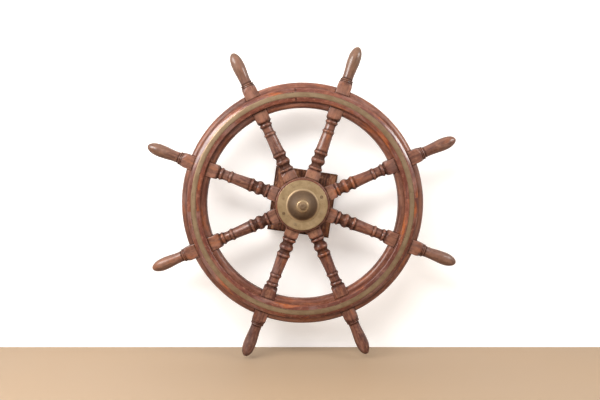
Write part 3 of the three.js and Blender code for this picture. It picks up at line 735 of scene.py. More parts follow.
# How pale each spoke's outer end is made, from 0 to 1, which also sets how light the whole spoke is: highest
# at the top of the wheel and lowest at the bottom.
SPOKE_PALENESS = (0.45, 1.0, 0.85, 0.7, 0.6, 0.15, 0.1, 0.6)
WAVY_SPOKE = (45 * MM, 0.3 * MM)  # length and height of its unevenness
DENTED_SPOKE = (22, 3 * MM, 0.6 * MM)  # number, size and depth of its dents
TIP_FADE = 12 * MM  # the unevenness dies away over this length at the tip
SPOKE_SEED, SPOKE_DENT_SEED, FELLOE_SEED, FACING_SEED, BAND_SEED = 100, 200, 300, 400, 600


def spoke_outline(root, tip, spacing):
    """The whole turned outline of a spoke, as [distance from the axle, radius] points."""
    square = SQUARE * MM
    blank = curve([(root, square), (TURNED_RUNS[0][0][0] * MM, square)], ROOT_SPACING)[:-1]
    turned = outline([np.array(run) * MM for run in TURNED_RUNS], spacing)
    shares, radii = np.array(HANDLE_SWELL).T
    along = HANDLE_FOOT + shares * (tip - HANDLE_FOOT - HANDLE_END) / shares[-1]
    swell = np.column_stack([along, radii * MM])
    turn = np.linspace(0, math.pi / 2, END_STEPS)[1:]
    end = np.column_stack([tip - HANDLE_END + HANDLE_END * np.sin(turn), swell[-1, 1] * np.cos(turn)])
    return np.vstack([blank, turned, curve(swell, spacing), end])


def bar_limit(along, angle, half, wedges, notch, notch_depth):
    """How far the square bar's surface is from the spoke's own axis.

    wedges holds the slopes of the root's two sides, anticlockwise and clockwise. notch is where the
    facings cross, and there the bar is notch_depth deep on each face.
    """
    places, widths = np.array(BAR_TAPER).T * MM
    width = np.interp(along, places, widths, left=half)
    slope = np.where(np.cos(angle) > 0, *wedges)
    across = np.minimum(width, np.maximum(along * slope - ROOT_GAP, LEAST_HALF))
    deep = np.where((along > notch[0]) & (along < notch[1]), notch_depth, width)
    cos, sin = np.abs(np.cos(angle)), np.abs(np.sin(angle))
    return ((cos / across) ** ARRIS + (sin / deep) ** ARRIS) ** (-1 / ARRIS)


def spoke_surface(number, root, notch):
    """Corners of a spoke in its own axes, [along, turn, axis]: everywhere the nearer of bar and turning."""
    size = extent(f"spoke_{number}")
    steps = [(place_on + side * WELD, SQUARE * MM) for place_on in notch for side in (-1, 1)]
    profile = np.vstack([spoke_outline(root, size.outer, SPOKE_SPACING), steps])
    profile = profile[np.argsort(profile[:, 0], kind="stable")]
    along, turning = profile[:, :1], np.maximum(profile[:, 1:], LEAST_RADIUS)
    angle = np.concatenate([np.radians(QUARTER) + turn * math.pi / 2 for turn in range(4)])[None, :]
    wedges = [math.tan(gap_to_next(number, side) / 2) for side in (1, -1)]
    bar = bar_limit(along, angle, size.front, wedges, notch, extent("felloe_1").front)
    radius = (turning**-MEETING + bar**-MEETING) ** (-1 / MEETING)
    local = [np.broadcast_to(along, radius.shape), radius * np.cos(angle), radius * np.sin(angle)]
    return np.stack(local, axis=-1)


def aged_spoke(points, number, tip):
    """The spoke's corners moved in and out by long waves and small dents, least at its tip."""
    wavelength, height = WAVY_SPOKE
    count, size, depth = DENTED_SPOKE
    push = wobble(points, wavelength, SPOKE_SEED + number) * height
    push -= dents(points, count, size, SPOKE_DENT_SEED + number) * depth
    fade = np.clip((tip - points[:, 0]) / TIP_FADE, 0, 1)
    return points + unit(points * [0, 1, 1]) * (push * fade)[:, None]


def build_spoke(number):
    """A square bar with turned lengths, ending in the handle."""
    node = f"spoke_{number}"
    size, facing = extent(node), extent("front_facing_1")
    root = extent("hub_sleeve").outer + SLEEVE_GAP
    local = spoke_surface(number, root, (facing.inner - NOTCH_GAP, facing.outer + NOTCH_GAP))
    cos, sin = math.cos(HEADINGS[number]), math.sin(HEADINGS[number])
    axes = np.array([[cos, sin, 0], [-sin, cos, 0], [0, 0, 1]])
    flat = aged_spoke(local.reshape(-1, 3), number, size.outer)
    obj = loft(f"{node}.fine", (flat @ axes).reshape(local.shape), closed=False)

    spacing, reach = SPOKE_RELIEF
    shape = spoke_outline(root, size.outer, spacing)
    raised = relief(shape, reach, closed=False)
    seams = (CHEEK_EDGE, facing.inner, facing.outer)
    paleness = SPOKE_PALENESS[number - 1]

    def own_axes(points):
        return points @ axes.T

    def squareness(along, fade):
        """1 on the square blocks and 0 on the turning."""
        return np.clip((np.interp(along, *shape.T) - BLOCK_RADIUS) / fade, 0, 1)

    def wear(points):
        along, across, depth = own_axes(points).T
        square = squareness(along, 8 * MM)
        turned_wear = np.interp(along, shape[:, 0], raised) - np.interp(along / MM, *np.array(GRIMY_AND_SHADED).T)
        off_corner = np.degrees(np.abs(np.arctan2(np.abs(depth), np.abs(across)) - math.pi / 4))
        arris = np.clip(1 - off_corner / ARRIS_REACH, 0, 1)
        to_seam = np.min([np.abs(along - place_on) for place_on in seams], axis=0)
        seam = np.clip(1 - to_seam / SEAM_REACH, 0, 1)
        return np.clip(turned_wear * (1 - square) + square * BLOCK_WEAR * (arris - seam), -1, 1)

    def handled(points):
        out = own_axes(points)[:, 0] - facing.outer
        return paleness * np.clip(out / (HANDLE_FOOT + GRIP_FADE - facing.outer), LEAST_HANDLED, 1)

    def pale(points):
        along, across, depth = own_axes(points).T
        off_middle = np.minimum(np.abs(across), np.abs(depth)) / size.front
        bareness = np.interp(along, PALE_REACH, (1, 0.1 + 0.55 * paleness))
        return squareness(along, 6 * MM) * np.clip(1.25 - off_middle, 0, 1) * bareness

    finish_piece(obj, node, wear, own_axes, handled, pale, tone=0.35 + 0.3 * paleness)


# ---------------- rim

WAVY_RIM = (90 * MM, 0.2 * MM)  # length and height of its pieces' unevenness
DENTED_RIM = (18, 4 * MM, 0.35 * MM)  # number, size and depth of the dents in each
END_ROW = 0.25  # how long the first and last rows of a curved bar are, against the others
RIM_RELIEF = 2.4 * MM
SEAM_DEPTH = 0.65  # how dirty a joint eased by FULL_SEAM or more is
FULL_SEAM = 0.8 * MM
FELLOE_EASES = (16 * MM, 19 * MM, 19 * MM, 13 * MM)  # back inner and outer, then front outer and inner
REAR_EASES = (1 * MM, 1 * MM, 8 * MM, 8 * MM)  # front outer and inner, then back inner and outer
FELLOE_ROWS, FACING_ROWS, BAND_ROWS = 60, 110, 220  # sections along each piece
JOINT_GAP = 0.2 * MM  # from a facing's or a band's end to its joint's middle
FELLOE_GAP = 0.3 * MM  # between a felloe's end and the spoke
OUTER_CROWN = 41 * MM  # radius of the arc that the front facing falls away to, outwards
INNER_CROWN = 100 * MM  # and inwards
CROWN_SHARE = 0.9  # the share of the facing's half width that the crown covers
# The facing's rounded edge, in millimetres: how far in from its side, and how far below the crown's end.
FACING_EDGE = ((0, 5.2), (0.4, 3.2), (1.4, 1.4))
BAND_FIT = 0.15 * MM  # the band's clearance at each side of its groove
BAND_SUNK = 0.3 * MM  # how far the band's middle is below the crown of the facing
BAND_ROUND = 0.3 * MM  # how far its edges are rounded down
BAND_EASE = 0.3 * MM  # at its joints


def swept_piece(node, section, span, clearance, rows, joint_ease, seed, follow=0.85):
    """A curved bar from a closed [radius, depth] section, between the two angles of span.

    Its ends stand clearance off those angles' radii, and are drawn in by joint_ease, so that the joint
    shows as a fine line. joint_ease is one length, or one for each end. The grain follows the curve by the
    given share.
    """
    eases = np.broadcast_to(joint_ease, 2)
    size = extent(node)
    middle_radius = (size.inner + size.outer) / 2
    inward = unit(section.mean(axis=0) - section)
    tuck = eases.max() / middle_radius / rows
    shares = np.concatenate([[0, END_ROW / rows], np.arange(1, rows) / rows, [1 - END_ROW / rows, 1]])
    sections = []
    for share in shares:
        ring = section + inward * eases[int(share)] if share in (0, 1) else section
        radius, depth = ring.T
        offset = np.arcsin(clearance / radius)
        angle = (span[0] + offset) * (1 - share) + (span[1] - offset) * share + tuck * (share - 0.5)
        sections.append(np.stack([radius * np.cos(angle), radius * np.sin(angle), depth], axis=-1))
    sections = np.array(sections)
    flat = sections.reshape(-1, 3)
    wavelength, height = WAVY_RIM
    count, dent_size, dent_depth = DENTED_RIM
    bruise = dents(flat, count, dent_size, seed + 1) * dent_depth
    flat = flat + unit(flat * [1, 1, 0]) * wobble(flat, wavelength, seed)[:, None] * height
    flat[:, 2] -= np.sign(flat[:, 2]) * bruise
    obj = loft(f"{node}.fine", flat.reshape(sections.shape), closed=False)
    profile_wear = nearest_wear(section, relief(section, RIM_RELIEF))

    def polar(points):
        """Distance from the axle, and the angle from the middle of the piece."""
        turn = half_turn(np.arctan2(points[:, 1], points[:, 0]) - (span[0] + span[1]) / 2)
        return np.hypot(points[:, 0], points[:, 1]), turn

    def grain(points):
        radius, turn = polar(points)
        run_out = middle_radius * (1 - np.cos(turn)) * (1 - follow)
        return np.stack([middle_radius * turn, radius - middle_radius + run_out, points[:, 2]], axis=-1)

    def wear(points):
        radius, turn = polar(points)
        to_end = ((span[1] - span[0]) / 2 - np.abs(turn)) * radius - clearance
        ease = np.where(turn > 0, eases[1], eases[0])
        seam = np.clip(1.2 - to_end / (4 * ease), 0, 1) * np.minimum(ease / FULL_SEAM, 1)
        return np.clip(profile_wear(points) - SEAM_DEPTH * seam, -1, 1)

    finish_piece(obj, node, wear, grain)


def joint_eases(span):
    """How far each end of a facing is eased: its joints have opened at the top of the wheel only."""
    return [(0.25 + 0.85 * max(math.sin(angle), 0) ** 4) * MM for angle in span]


def felloe_section():
    """Full rounded edges, so that only the middle of each face is flat."""
    size = extent("felloe_1")
    corners = box_corners(size.inner, size.outer, size.back, size.front)
    return filled(eased(corners, FELLOE_EASES, steps=14), spacing=5 * MM)


def rear_section(node):
    """Well rounded where it can be seen from behind, and square against the felloes."""
    size = extent(node)
    corners = box_corners(size.outer, size.inner, size.front, size.back)
    return filled(eased(corners, REAR_EASES, steps=8), OUTLINE_SPACING)


def fall(reach):
    """How far the crown has dropped at some distance from its middle, which is negative inwards."""
    bend = OUTER_CROWN if reach > 0 else INNER_CROWN
    return bend - math.sqrt(bend**2 - reach**2)


def facing_side(middle, edge, groove, low, top):
    """Half of the front facing's outline: its straight side, then its edge and crown, up to the groove."""
    width = edge - middle
    inwards = math.copysign(MM, width)
    shoulder = top - fall(CROWN_SHARE * width)
    rounded = [(edge - aside * inwards, shoulder - below * MM) for aside, below in FACING_EDGE]
    shares = np.linspace(CROWN_SHARE, (groove - middle) / width, 7)
    crown = [(middle + share * width, top - fall(share * width)) for share in shares]
    return [(edge, low), (edge, shoulder - 5.4 * MM)], [*rounded, *crown]


def facing_section(node):
    """The front facing, crowned on both sides of the groove that holds the band."""
    size = extent(node)
    floor = BAND.back - 0.2 * MM
    middle = (size.inner + size.outer) / 2
    outer = facing_side(middle, size.outer, BAND.outer + BAND_FIT, size.back, size.front)
    inner = facing_side(middle, size.inner, BAND.inner - BAND_FIT, size.back, size.front)
    (right, _), (left, _) = outer[1][-1], inner[1][-1]
    groove = joined(outer[1][-1], (right, floor), (left, floor), inner[1][-1])
    foot = [(size.inner, size.back), (size.outer, size.back)]
    return outline([foot, *outer, *groove, *[run[::-1] for run in inner[::-1]]], spacing=1.3 * MM)


def band_section():
    """A brass strip rounded to the same crown as the facing round it."""
    size = extent("brass_band_1")
    middle, half = (size.inner + size.outer) / 2, (size.outer - size.inner) / 2
    top = extent("front_facing_1").front
    crown = [
        (middle + share * half, top - BAND_SUNK - 0.5 * fall(share * half) - BAND_ROUND * abs(share) ** 8)
        for share in np.linspace(1, -1, 15)
    ]
    return np.array([(size.inner, size.back), (size.outer, size.back), *crown])


def build_felloe(number):
    """The block between a spoke and the next one."""
    node = f"felloe_{number}"
    span = (HEADINGS[number], HEADINGS[number] + gap_to_next(number))
    clearance = extent("spoke_1").front + FELLOE_GAP
    swept_piece(node, felloe_section(), span, clearance, FELLOE_ROWS, FULL_SEAM, FELLOE_SEED + number)


def build_facings(number):
    """A quarter of the rings on the front and on the back of the rim."""
    for side, section_of in (("front", facing_section), ("rear", rear_section)):
        node = f"{side}_facing_{number}"
        span = sweep_of(node)
        eases = joint_eases(span)
        swept_piece(node, section_of(node), span, JOINT_GAP, FACING_ROWS, eases, FACING_SEED + number)


def build_band(number):
    """Half of the brass band."""
    node = f"brass_band_{number}"
    span, seed = sweep_of(node), BAND_SEED + number
    swept_piece(node, band_section(), span, JOINT_GAP, BAND_ROWS, BAND_EASE, seed, follow=1)


# ---------------- hub and bearing

# What is added to the wear at distances from the axle, in millimetres: both are dull with tarnish on top, the
# dome darkens down its side as painted shade, and both are rubbed bright round the edge, with a painted
# highlight.
CAP_TARNISH_AND_PAINTED_LIGHT = (
    (0, -0.2), (22, -0.35), (28, -0.55), (34, -0.65), (40, -0.7), (50, -0.75), (53.5, -0.5), (56, 0.7),
    (60, 1.1),
)
FINIAL_TARNISH_AND_PAINTED_HIGHLIGHT = ((0, -0.62), (9, -0.6), (11, -0.45), (13, -0.1), (17, 0.1), (18.5, 0.8), (22, 0.8))
CAP_WALL = 2.6 * MM
CAP_BEND = 69 * MM  # radius of the dome's side
CAP_STEEP, CAP_GENTLE = math.radians(61), math.radians(28)  # its slope at the foot and at the seat
# The flare of its foot, in millimetres: how far in from its edge, and how far up.
CAP_FLARE = ((0, 1.2), (1.0, 1.35), (2.4, 1.75), (4.6, 2.6), (6.8, 3.9), (8.6, 5.6))
SEAT_LIP = 0.6 * MM
FINIAL_STUD = 5 * MM  # radius
FINIAL_REST = 0.2 * MM  # between the button and the dome
# The button's outline, each place a distance in from its edge, in millimetres, and a share of its height.
FINIAL_FOOT = (0.8, 0)
FINIAL_RIM = (
    (0.5, 0.02), (0, 0.08), (0.1, 0.16), (0.7, 0.27), (1.8, 0.35), (3.4, 0.41), (6, 0.45), (9.2, 0.47)
)
FINIAL_SIDE = ((9.4, 0.48), (9.7, 0.6), (10.6, 0.82), (12.8, 0.95), (16, 1))
FINIAL_TOP = ((16, 1), (19, 0.97))
FINIAL_CENTRE = 0.95  # the height of its middle, against its highest


def build_cap():
    """The dome: a thin shell with a flared foot, swept up into a flat seat for the finial."""
    size = extent("dome_cap")
    base, top, foot, hole = size.back, size.front, size.outer, size.inner
    seat = extent("cap_finial").outer + SEAT_LIP
    side = []
    for turn in np.linspace(CAP_STEEP, CAP_GENTLE, 7):
        radius = seat + CAP_BEND * (math.sin(turn) - math.sin(CAP_GENTLE))
        side.append((radius, top - CAP_BEND * (math.cos(CAP_GENTLE) - math.cos(turn))))
    inside = [(radius - CAP_WALL, depth - CAP_WALL / 2) for radius, depth in side[::-1]]
    inner_foot = (inside[-1][0], base)
    flare = [(foot - inwards * MM, base + up * MM) for inwards, up in CAP_FLARE]
    swept_seat = [side[-1], (seat - SEAT_LIP, top), (hole, top)]
    under = (hole, top - CAP_WALL), (seat - CAP_WALL, top - CAP_WALL)
    outside = joined(inner_foot, (foot, base), [*flare, side[0]], side, swept_seat, *under)
    points = outline(outside + joined(inside, inner_foot), spacing=1.6 * MM)
    turned_piece("dome_cap", points, around=144, grime=0.3, tarnish=CAP_TARNISH_AND_PAINTED_LIGHT)


def build_finial():
    """A low ringed button on a threaded stud."""
    size = extent("cap_finial")
    foot = extent("dome_cap").front + FINIAL_REST
    rise = size.front - foot

    def at(reach, share):
        return (size.outer - reach * MM, foot + share * rise)

    stud = joined((0, size.back), (FINIAL_STUD, size.back), (FINIAL_STUD, foot), at(*FINIAL_FOOT))
    button = [[at(*place_on) for place_on in run] for run in (FINIAL_RIM, FINIAL_SIDE)]
    top = [*(at(*place_on) for place_on in FINIAL_TOP), (0, foot + FINIAL_CENTRE * rise)]
    points = outline([*stud, *button, top], spacing=0.8 * MM)
    turned_piece("cap_finial", points, grime=0.2, tarnish=FINIAL_TARNISH_AND_PAINTED_HIGHLIGHT)


RIVETS = range(1, 9)
RIVET_DIRT = (1.0, 0.1, 0.1, 0.6, 1.0, 0.8, 0.1, 0.1)  # how much dirt lies round each
# A rivet head, each place a share of its radius and a depth under its face, in millimetres.
RIVET_DOME = ((0, -0.1), (0.6, 0), (0.96, 0.3))
RIVET_EDGE = 0.9 * MM
RIVET_NECK = 3 * MM
RIVET_SHANK = 4 * MM
# The countersink round a head: how far out from the head's edge, in millimetres and then in gaps, and how
# deep in millimetres. The gap is wider round a dirty rivet.
COUNTERSINK = ((0, 3, -1), (0, 1, 0.8), (0.1, 0, 2.4))
CLEAN_GAP = 0.08 * MM
DIRT_GAP = 0.3 * MM  # added to it where the dirt is 1


def rivet_outline(node, centre):
    """A rivet with a low domed head at each end."""
    size = extent(node, centre)
    head, face = size.outer, size.front
    runs = []
    for side in (-1, 1):
        dome = [(share * head, side * (face - under * MM)) for share, under in RIVET_DOME]
        cone = [(head, side * (face - RIVET_EDGE)), (RIVET_SHANK, side * (face - RIVET_NECK))]
        runs += [dome, cone] if side < 0 else [cone[::-1], dome[::-1]]
    return outline(runs, spacing=0.8 * MM)


def build_rivets():
    """The rivets that hold the plates, dull where dirt lies on them."""
    for number, dirt in zip(RIVETS, RIVET_DIRT):
        node = f"hub_rivet_{number}"
        centre = centre_of(node)
        dull = ((0, -dirt), (3, -0.8 * dirt), (4, -1.2 * dirt))
        turned_piece(node, rivet_outline(node, centre), around=28, centre=centre, grime=0.5, tarnish=dull)


def build_hub_plate(node):
    """A brass plate with a countersink round each rivet head."""
    size = extent(node)
    points = ring_outline(node, ease=1.4 * MM)
    plate = loft(f"{node}.fine", round_sections(points, 160), closed=True)
    face, inward = (size.front, -1) if size.front > 0 else (size.back, 1)
    cutters = []
    for number, dirt in zip(RIVETS, RIVET_DIRT):
        centre = centre_of(f"hub_rivet_{number}")
        head = extent(f"hub_rivet_{number}", centre).outer
        gap = CLEAN_GAP + DIRT_GAP * dirt
        cone = [(head + out * MM + gaps * gap, face + inward * deep * MM) for out, gaps, deep in COUNTERSINK]
        cone = np.array([(0, cone[0][1]), *cone, (0, cone[-1][1])])
        cutters.append(loft("cutter", round_sections(cone, 32, centre), closed=True))
    carve(plate, cutters)
    finish_piece(plate, node, nearest_wear(points, relief(points, TURNED_REACH)))


NUT_FACE = 0.97  # the radius of a nut's flat face, against the distance to its sides
SCREW_SHANK = 4 * MM
SCREW_HEAD = 6 * MM  # how deep it is
HOUSING_BOSS = 30 * MM  # radius
HOUSING_FLANGE = 10 * MM  # thickness


def hexagon(radius, corner=math.pi / 6):
    """The limit that a hexagon sets on a turned outline. corner is the direction of one of its corners."""

    def limit(angle):
        side = (angle - corner) % (math.pi / 3) - math.pi / 6
        return radius * math.cos(math.pi / 6) / math.cos(side)

    return limit


def build_shaft_nut():
    """A hexagon nut, its corners chamfered at both ends."""
    size = extent("shaft_nut")
    outer, back, front = size.outer, size.back, size.front
    face = outer * math.cos(math.pi / 6) * NUT_FACE
    bore = extent("shaft").outer + 0.3 * MM
    runs = joined(
        (bore, back), (face, back), (outer, back + 2 * MM), (outer, front - 2 * MM), (face, front),
        (bore + 1 * MM, front), (bore, front - 1 * MM), (bore, back),
    )
    limit = hexagon(outer, direction_of("shaft_nut"))
    turned_piece("shaft_nut", outline(runs, spacing=1.5 * MM), around=120, limit=limit)


def build_housing_screws():
    """Coach screws: a domed hexagon head on a plain shank."""
    for number in range(1, 5):
        node = f"housing_screw_{number}"
        centre = centre_of(node)
        size = extent(node, centre)
        head, tip, top = size.outer, size.back, size.front
        seat = top - SCREW_HEAD
        flat = head * math.cos(math.pi / 6)
        point = [(0, tip), (1 * MM, tip), (SCREW_SHANK, tip + 5 * MM)]
        dome = [(head, top - 1.6 * MM), (flat * 0.9, top - 0.5 * MM), (flat * 0.5, top), (0, top)]
        runs = joined(point, (SCREW_SHANK, seat), (flat * 0.98, seat), (head, seat + 0.8 * MM), dome)
        points = outline(runs, spacing=0.9 * MM)
        turned_piece(node, points, around=60, centre=centre, limit=hexagon(head))


def build_housing():
    """A cast flange and boss, joined by a fillet."""
    size = extent("bearing_housing")
    bore, boss, rim = extent("bearing_bush").outer + 0.2 * MM, HOUSING_BOSS, size.outer
    back, front = size.back, size.front
    seat = extent("box_front_board").front + 0.3 * MM
    face = seat + HOUSING_FLANGE
    foot = [(bore + 1 * MM, back), (boss - 1 * MM, back), (boss, back + 1 * MM)]
    flange = [(rim, seat), (rim, face - 2.5 * MM), (rim - 0.8 * MM, face - 0.8 * MM), (rim - 2.5 * MM, face)]
    fillet = [(boss + out * MM, face + up * MM) for out, up in ((8, 0), (3, 1.6), (0.8, 6), (0, 13))]
    nose = [(boss - inwards * MM, front - under * MM) for inwards, under in ((0, 2), (0.6, 0.6), (2, 0))]
    mouth = (bore + 1 * MM, front), (bore, front - 1 * MM)
    around = (bore, back + 1 * MM), foot, (boss, seat), flange, fillet, [fillet[-1], *nose], *mouth
    runs = joined(*around, around[0])
    turned_piece("bearing_housing", outline(runs, spacing=2 * MM))


def box_of(points):
    """The lowest and the highest of the points' places along each axis."""
    return points.min(axis=0), points.max(axis=0)


def build_key():
    """The shaft's key: an eased bar along the axle."""
    low, high = box_of(node_points("shaft_key"))
    section = eased(box_corners(low[0], high[0], low[1], high[1]), radius=0.6 * MM, steps=4)
    depths = np.linspace(low[2], high[2], 12)
    sections = np.array([np.column_stack([section, np.full(len(section), depth)]) for depth in depths])
    finish_piece(loft("shaft_key.fine", sections, closed=False), "shaft_key")


def build_pin():
    """The collar's cross pin, along X, with rounded ends."""
    low, high = box_of(node_points("collar_pin"))
    _, up, depth = (low + high) / 2
    radius = (high[1] - low[1]) / 2
    end, bend = 1.2 * MM, 0.3 * MM
    runs = joined(
        [(low[0], 0), (low[0] + bend, radius * 0.7), (low[0] + end, radius)],
        [(high[0] - end, radius), (high[0] - bend, radius * 0.7), (high[0], 0)],
    )
    angle = np.linspace(0, math.tau, 32, endpoint=False)
    sections = []
    for right, size in outline(runs, spacing=2 * MM):
        ring = [np.full(len(angle), right), up + size * np.cos(angle), depth + size * np.sin(angle)]
        sections.append(np.stack(ring, axis=-1))
    finish_piece(loft("collar_pin.fine", np.array(sections), closed=False), "collar_pin")


# ---------------- wall box

BOSS_HOLE = 30.4 * MM  # radius of the hole in the front board
CHAMFER = 5 * MM  # round the front board's face
FRONT_EASE, SIDE_EASE = 1 * MM, 0.8 * MM
RINGS = (8, 14, 22, 34, 50, 70, 90)  # millimetres in from a board's edge, across its front face
EDGE_DARKENING, HUB_PAINTED_SHADE = 0.9, 0.6  # how much darker a board is made at most along its edges, and how much painted shade lies above and below the hub


def turned_by(points, angle):
    """Points turned about the axle."""
    cos, sin = math.cos(angle), math.sin(angle)
    right, up, depth = np.moveaxis(points, -1, 0)
    return np.stack([right * cos - up * sin, right * sin + up * cos, depth], axis=-1)


def box_turn():
    """How far the box hangs out of square, from its front board's highest and furthest right corners."""
    points = node_points("box_front_board")
    highest, rightmost = points[points[:, 1].argmax()], points[points[:, 0].argmax()]
    across, up = (rightmost - highest)[:2]
    return math.atan2(up, across)


BOX_TURN = box_turn()


def board_ring(low, high, inset, depth):
    """A rounded rectangle across the board, with the same number of corners at any inset."""
    a, b = low[:2] + inset, high[:2] - inset
    corners = eased(box_corners(a[0], b[0], a[1], b[1]), radius=1.2 * MM, steps=4)
    ring = []
    for here, ahead in zip(corners, np.roll(corners, -1, 0)):
        straight = np.linalg.norm(ahead - here) > 3 * MM
        count = 14 if straight else 1
        ring += [here + share * (ahead - here) for share in np.arange(count) / count]
    return np.column_stack([np.array(ring), np.full(len(ring), depth)])


def board_levels(low, high, ease, chamfer):
    """A board's rounded edges and its front face, each level a depth and how far its ring is inset."""
    back, front = low[2], high[2]
    bevel = max(chamfer, ease)
    levels = [(back, ease), (back + ease * 0.3, ease * 0.3), (back + ease, 0), (front - bevel, 0)]
    if chamfer > 0:
        levels += [(front - bevel + 0.5 * MM, 0.3 * MM), (front - 0.6 * MM, bevel - 0.7 * MM)]
    else:
        levels += [(front - ease * 0.3, ease * 0.3)]
    room = (high - low)[:2].min() / 2 - 2 * MM
    rings = [reach * MM for reach in RINGS if bevel + 2 * MM < reach * MM < room]
    return levels + [(front, reach) for reach in (bevel + 0.2 * MM, *rings)]


def build_board(node, ease, along_up, chamfer=0, hole=None):
    """A board with eased edges, and a chamfer round its front face where it has one."""
    low, high = box_of(turned_by(node_points(node), -BOX_TURN))
    rings = [board_ring(low, high, reach, depth) for depth, reach in board_levels(low, high, ease, chamfer)]
    board = loft(f"{node}.fine", turned_by(np.array(rings), BOX_TURN), closed=False)
    if hole is not None:
        drill = np.array([(0, low[2]), (hole, low[2]), (hole, high[2]), (0, high[2])])
        drill[:, 1] += np.array([-1, -1, 1, 1]) * 5 * MM
        carve(board, [loft("cutter", round_sections(drill, 64), closed=True)])

    def grain(points):
        own = turned_by(points, -BOX_TURN)
        return own[:, [1, 0, 2]] if along_up else own

    def wear(points):
        own = turned_by(points, -BOX_TURN)
        to_edge = np.minimum(own[:, :2] - low[:2], high[:2] - own[:, :2]).min(axis=1)
        near_edge = np.clip(1.2 - to_edge / (max(chamfer, ease) + 2 * MM), 0, EDGE_DARKENING)
        # Painted shade on the board above and below the hub, where the root blocks shade it.
        to_hub = np.hypot(1.5 * own[:, 0], own[:, 1]) - CHEEK_EDGE
        hub_shade = np.clip((34 * MM - to_hub) / (40 * MM), 0, HUB_PAINTED_SHADE)
        return -np.maximum(near_edge, hub_shade)

    finish_piece(board, node, wear, grain)


# ---------------- the object


def build_hub():
    """Everything on the axle: cheeks, plates, bearing, shaft, dome and their fastenings."""
    for node in ("nave_front_cheek", "nave_rear_cheek"):
        turned_piece(node, ring_outline(node, ease=3 * MM), around=144)
    for node in ("front_hub_plate", "rear_hub_plate"):
        build_hub_plate(node)
    for node in ("hub_sleeve", "shaft_washer", "shaft_collar", "thrust_washer", "bearing_bush"):
        turned_piece(node, ring_outline(node, ease=0.7 * MM))
    turned_piece("shaft", rod_outline("shaft", ease=1 * MM), around=64)
    build_cap()
    build_finial()
    build_rivets()
    build_shaft_nut()
    build_key()
    build_pin()
    build_housing()
    build_housing_screws()


def build_box():
    """The box's six boards."""
    build_board("box_front_board", FRONT_EASE, along_up=True, chamfer=CHAMFER, hole=BOSS_HOLE)
    build_board("box_back_board", FRONT_EASE, along_up=True)
    for side in ("left", "right"):
        build_board(f"box_{side}_board", SIDE_EASE, along_up=True)
    for side in ("top", "bottom"):
        build_board(f"box_{side}_board", SIDE_EASE, along_up=False)


for number in SPOKES:
    build_spoke(number)
    build_felloe(number)
for number in range(1, 5):
    build_facings(number)
for number in (1, 2):
    build_band(number)
build_hub()
build_box()

# ---------------- stage, light and camera

CAMERA_DISTANCE = 2.337
CAMERA_PITCH = math.radians(4.48)
CAMERA_LEFT, CAMERA_UP = 9.3 * MM, 15.6 * MM  # how far its line of sight passes from the axle
FOCAL_LENGTH = 37.8
SENSOR_WIDTH = 36
FLOOR_DROP = 0.589  # from the axle to the floor
WALL_GAP = 0.6 * MM  # between the box and the wall
STAGE_WIDE, STAGE_FAR, STAGE_HIGH = 6, 7, 4
FLOOR_TINT, FLOOR_ROUGHNESS = colour(162, 138, 112), 0.5
WALL_TINT, WALL_ROUGHNESS, WALL_GLOW = colour(236, 234, 232), 0.9, 0.36
WORLD_BELOW, WORLD_ABOVE = 0.28, 0.92  # how bright the world is low down and high up
WORLD_LOW, WORLD_HIGH = -0.6, 0.8  # the heights of those two, in a direction one long
WORLD_IN_GLOSS = 0.5  # how much of it shiny surfaces see
WORLD_TINT = (1, 0.985, 0.97, 1)
# Each light: place, width and height, watts, colour, and whether shiny surfaces show it.
LIGHTS = {
    "overhead": ((-0.4, -1.85, 1.4), (1.2, 0.6), 31, (1, 0.992, 0.98), False),
    "window": ((-2.05, -1.85, 1.3), (1.9, 1.2), 72, (1, 0.995, 0.985), True),
    "lamp": ((2.23, -1.35, 1.2), (1.1, 0.8), 29, (1, 0.99, 0.975), True),
}


def flat_stage(name, corners, material):
    """A rectangle of floor or wall."""
    mesh = bpy.data.meshes.new(name)
    mesh.from_pydata(corners, [], [(0, 1, 2, 3)])
    mesh.materials.append(material)
    place(mesh)


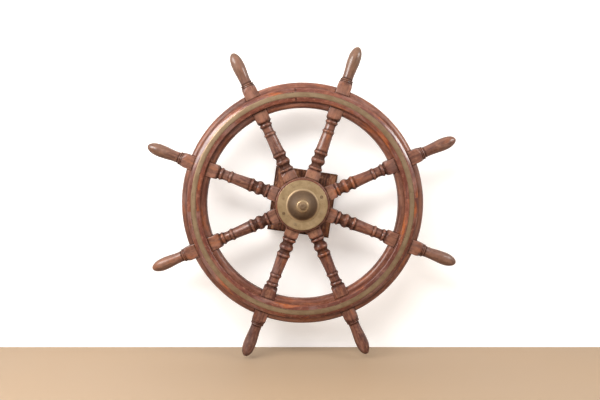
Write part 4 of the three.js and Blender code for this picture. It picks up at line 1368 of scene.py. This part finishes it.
def build_stage():
    """A floor, and the wall that the box hangs on."""
    floor = AXLE.z - FLOOR_DROP
    across = box_corners(-STAGE_WIDE, STAGE_WIDE, -STAGE_FAR, WALL_GAP)
    upright = box_corners(-STAGE_WIDE, STAGE_WIDE, floor, STAGE_HIGH)
    floor_material = plain("stage_floor", FLOOR_TINT, FLOOR_ROUGHNESS)
    wall_material = plain("stage_wall", WALL_TINT, WALL_ROUGHNESS, WALL_GLOW)
    flat_stage("stage_floor", [(x, y, floor) for x, y in across], floor_material)
    flat_stage("stage_wall", [(x, WALL_GAP, z) for x, z in upright], wall_material)


def build_world():
    """Even light, brighter from above than from below, that shows only a little in shiny surfaces."""
    shader = Shader(bpy.data.worlds.new("world"))
    up = shader.node("SeparateXYZ", {0: shader.node("TexCoord")["Generated"]})["Z"]
    height = shader.span(up, WORLD_LOW, WORLD_HIGH, WORLD_BELOW, WORLD_ABOVE, "LINEAR")
    dimmer = shader.span(shader.node("LightPath")["Is Glossy Ray"], 0, 1, 1, WORLD_IN_GLOSS, "LINEAR")
    inputs = {"Color": WORLD_TINT, "Strength": shader.math("MULTIPLY", height, dimmer)}
    background = shader.node("Background", inputs)["Background"]
    bpy.context.scene.world = shader.shown(background, "OutputWorld")


def build_lights():
    """A broad light overhead, one at the upper left that gives the long highlight, one at the right."""
    for name, (place_at, size, power, tint, glossy) in LIGHTS.items():
        data = bpy.data.lights.new(name, "AREA")
        data.shape = "RECTANGLE"
        data.size, data.size_y = size
        data.energy = power
        data.color = tint
        lamp = bpy.data.objects.new(name, data)
        lamp.location = place_at
        lamp.rotation_euler = (AXLE - Vector(place_at)).to_track_quat("-Z", "Y").to_euler()
        lamp.visible_glossy = glossy
        bpy.context.scene.collection.objects.link(lamp)
    bpy.context.scene.view_settings.view_transform = "Standard"


def build_camera():
    """Looks at the wheel square on, from a little above its hub."""
    data = bpy.data.cameras.new("camera")
    data.lens = FOCAL_LENGTH
    data.sensor_width = SENSOR_WIDTH
    camera = bpy.data.objects.new("camera", data)
    back = Vector((0, -math.cos(CAMERA_PITCH), math.sin(CAMERA_PITCH)))
    up = Vector((0, math.sin(CAMERA_PITCH), math.cos(CAMERA_PITCH)))
    camera.location = AXLE + back * CAMERA_DISTANCE + up * CAMERA_UP - Vector((CAMERA_LEFT, 0, 0))
    camera.rotation_euler = (-back).to_track_quat("-Z", "Y").to_euler()
    bpy.context.scene.collection.objects.link(camera)
    bpy.context.scene.camera = camera


build_stage()
build_lights()
build_world()
build_camera()
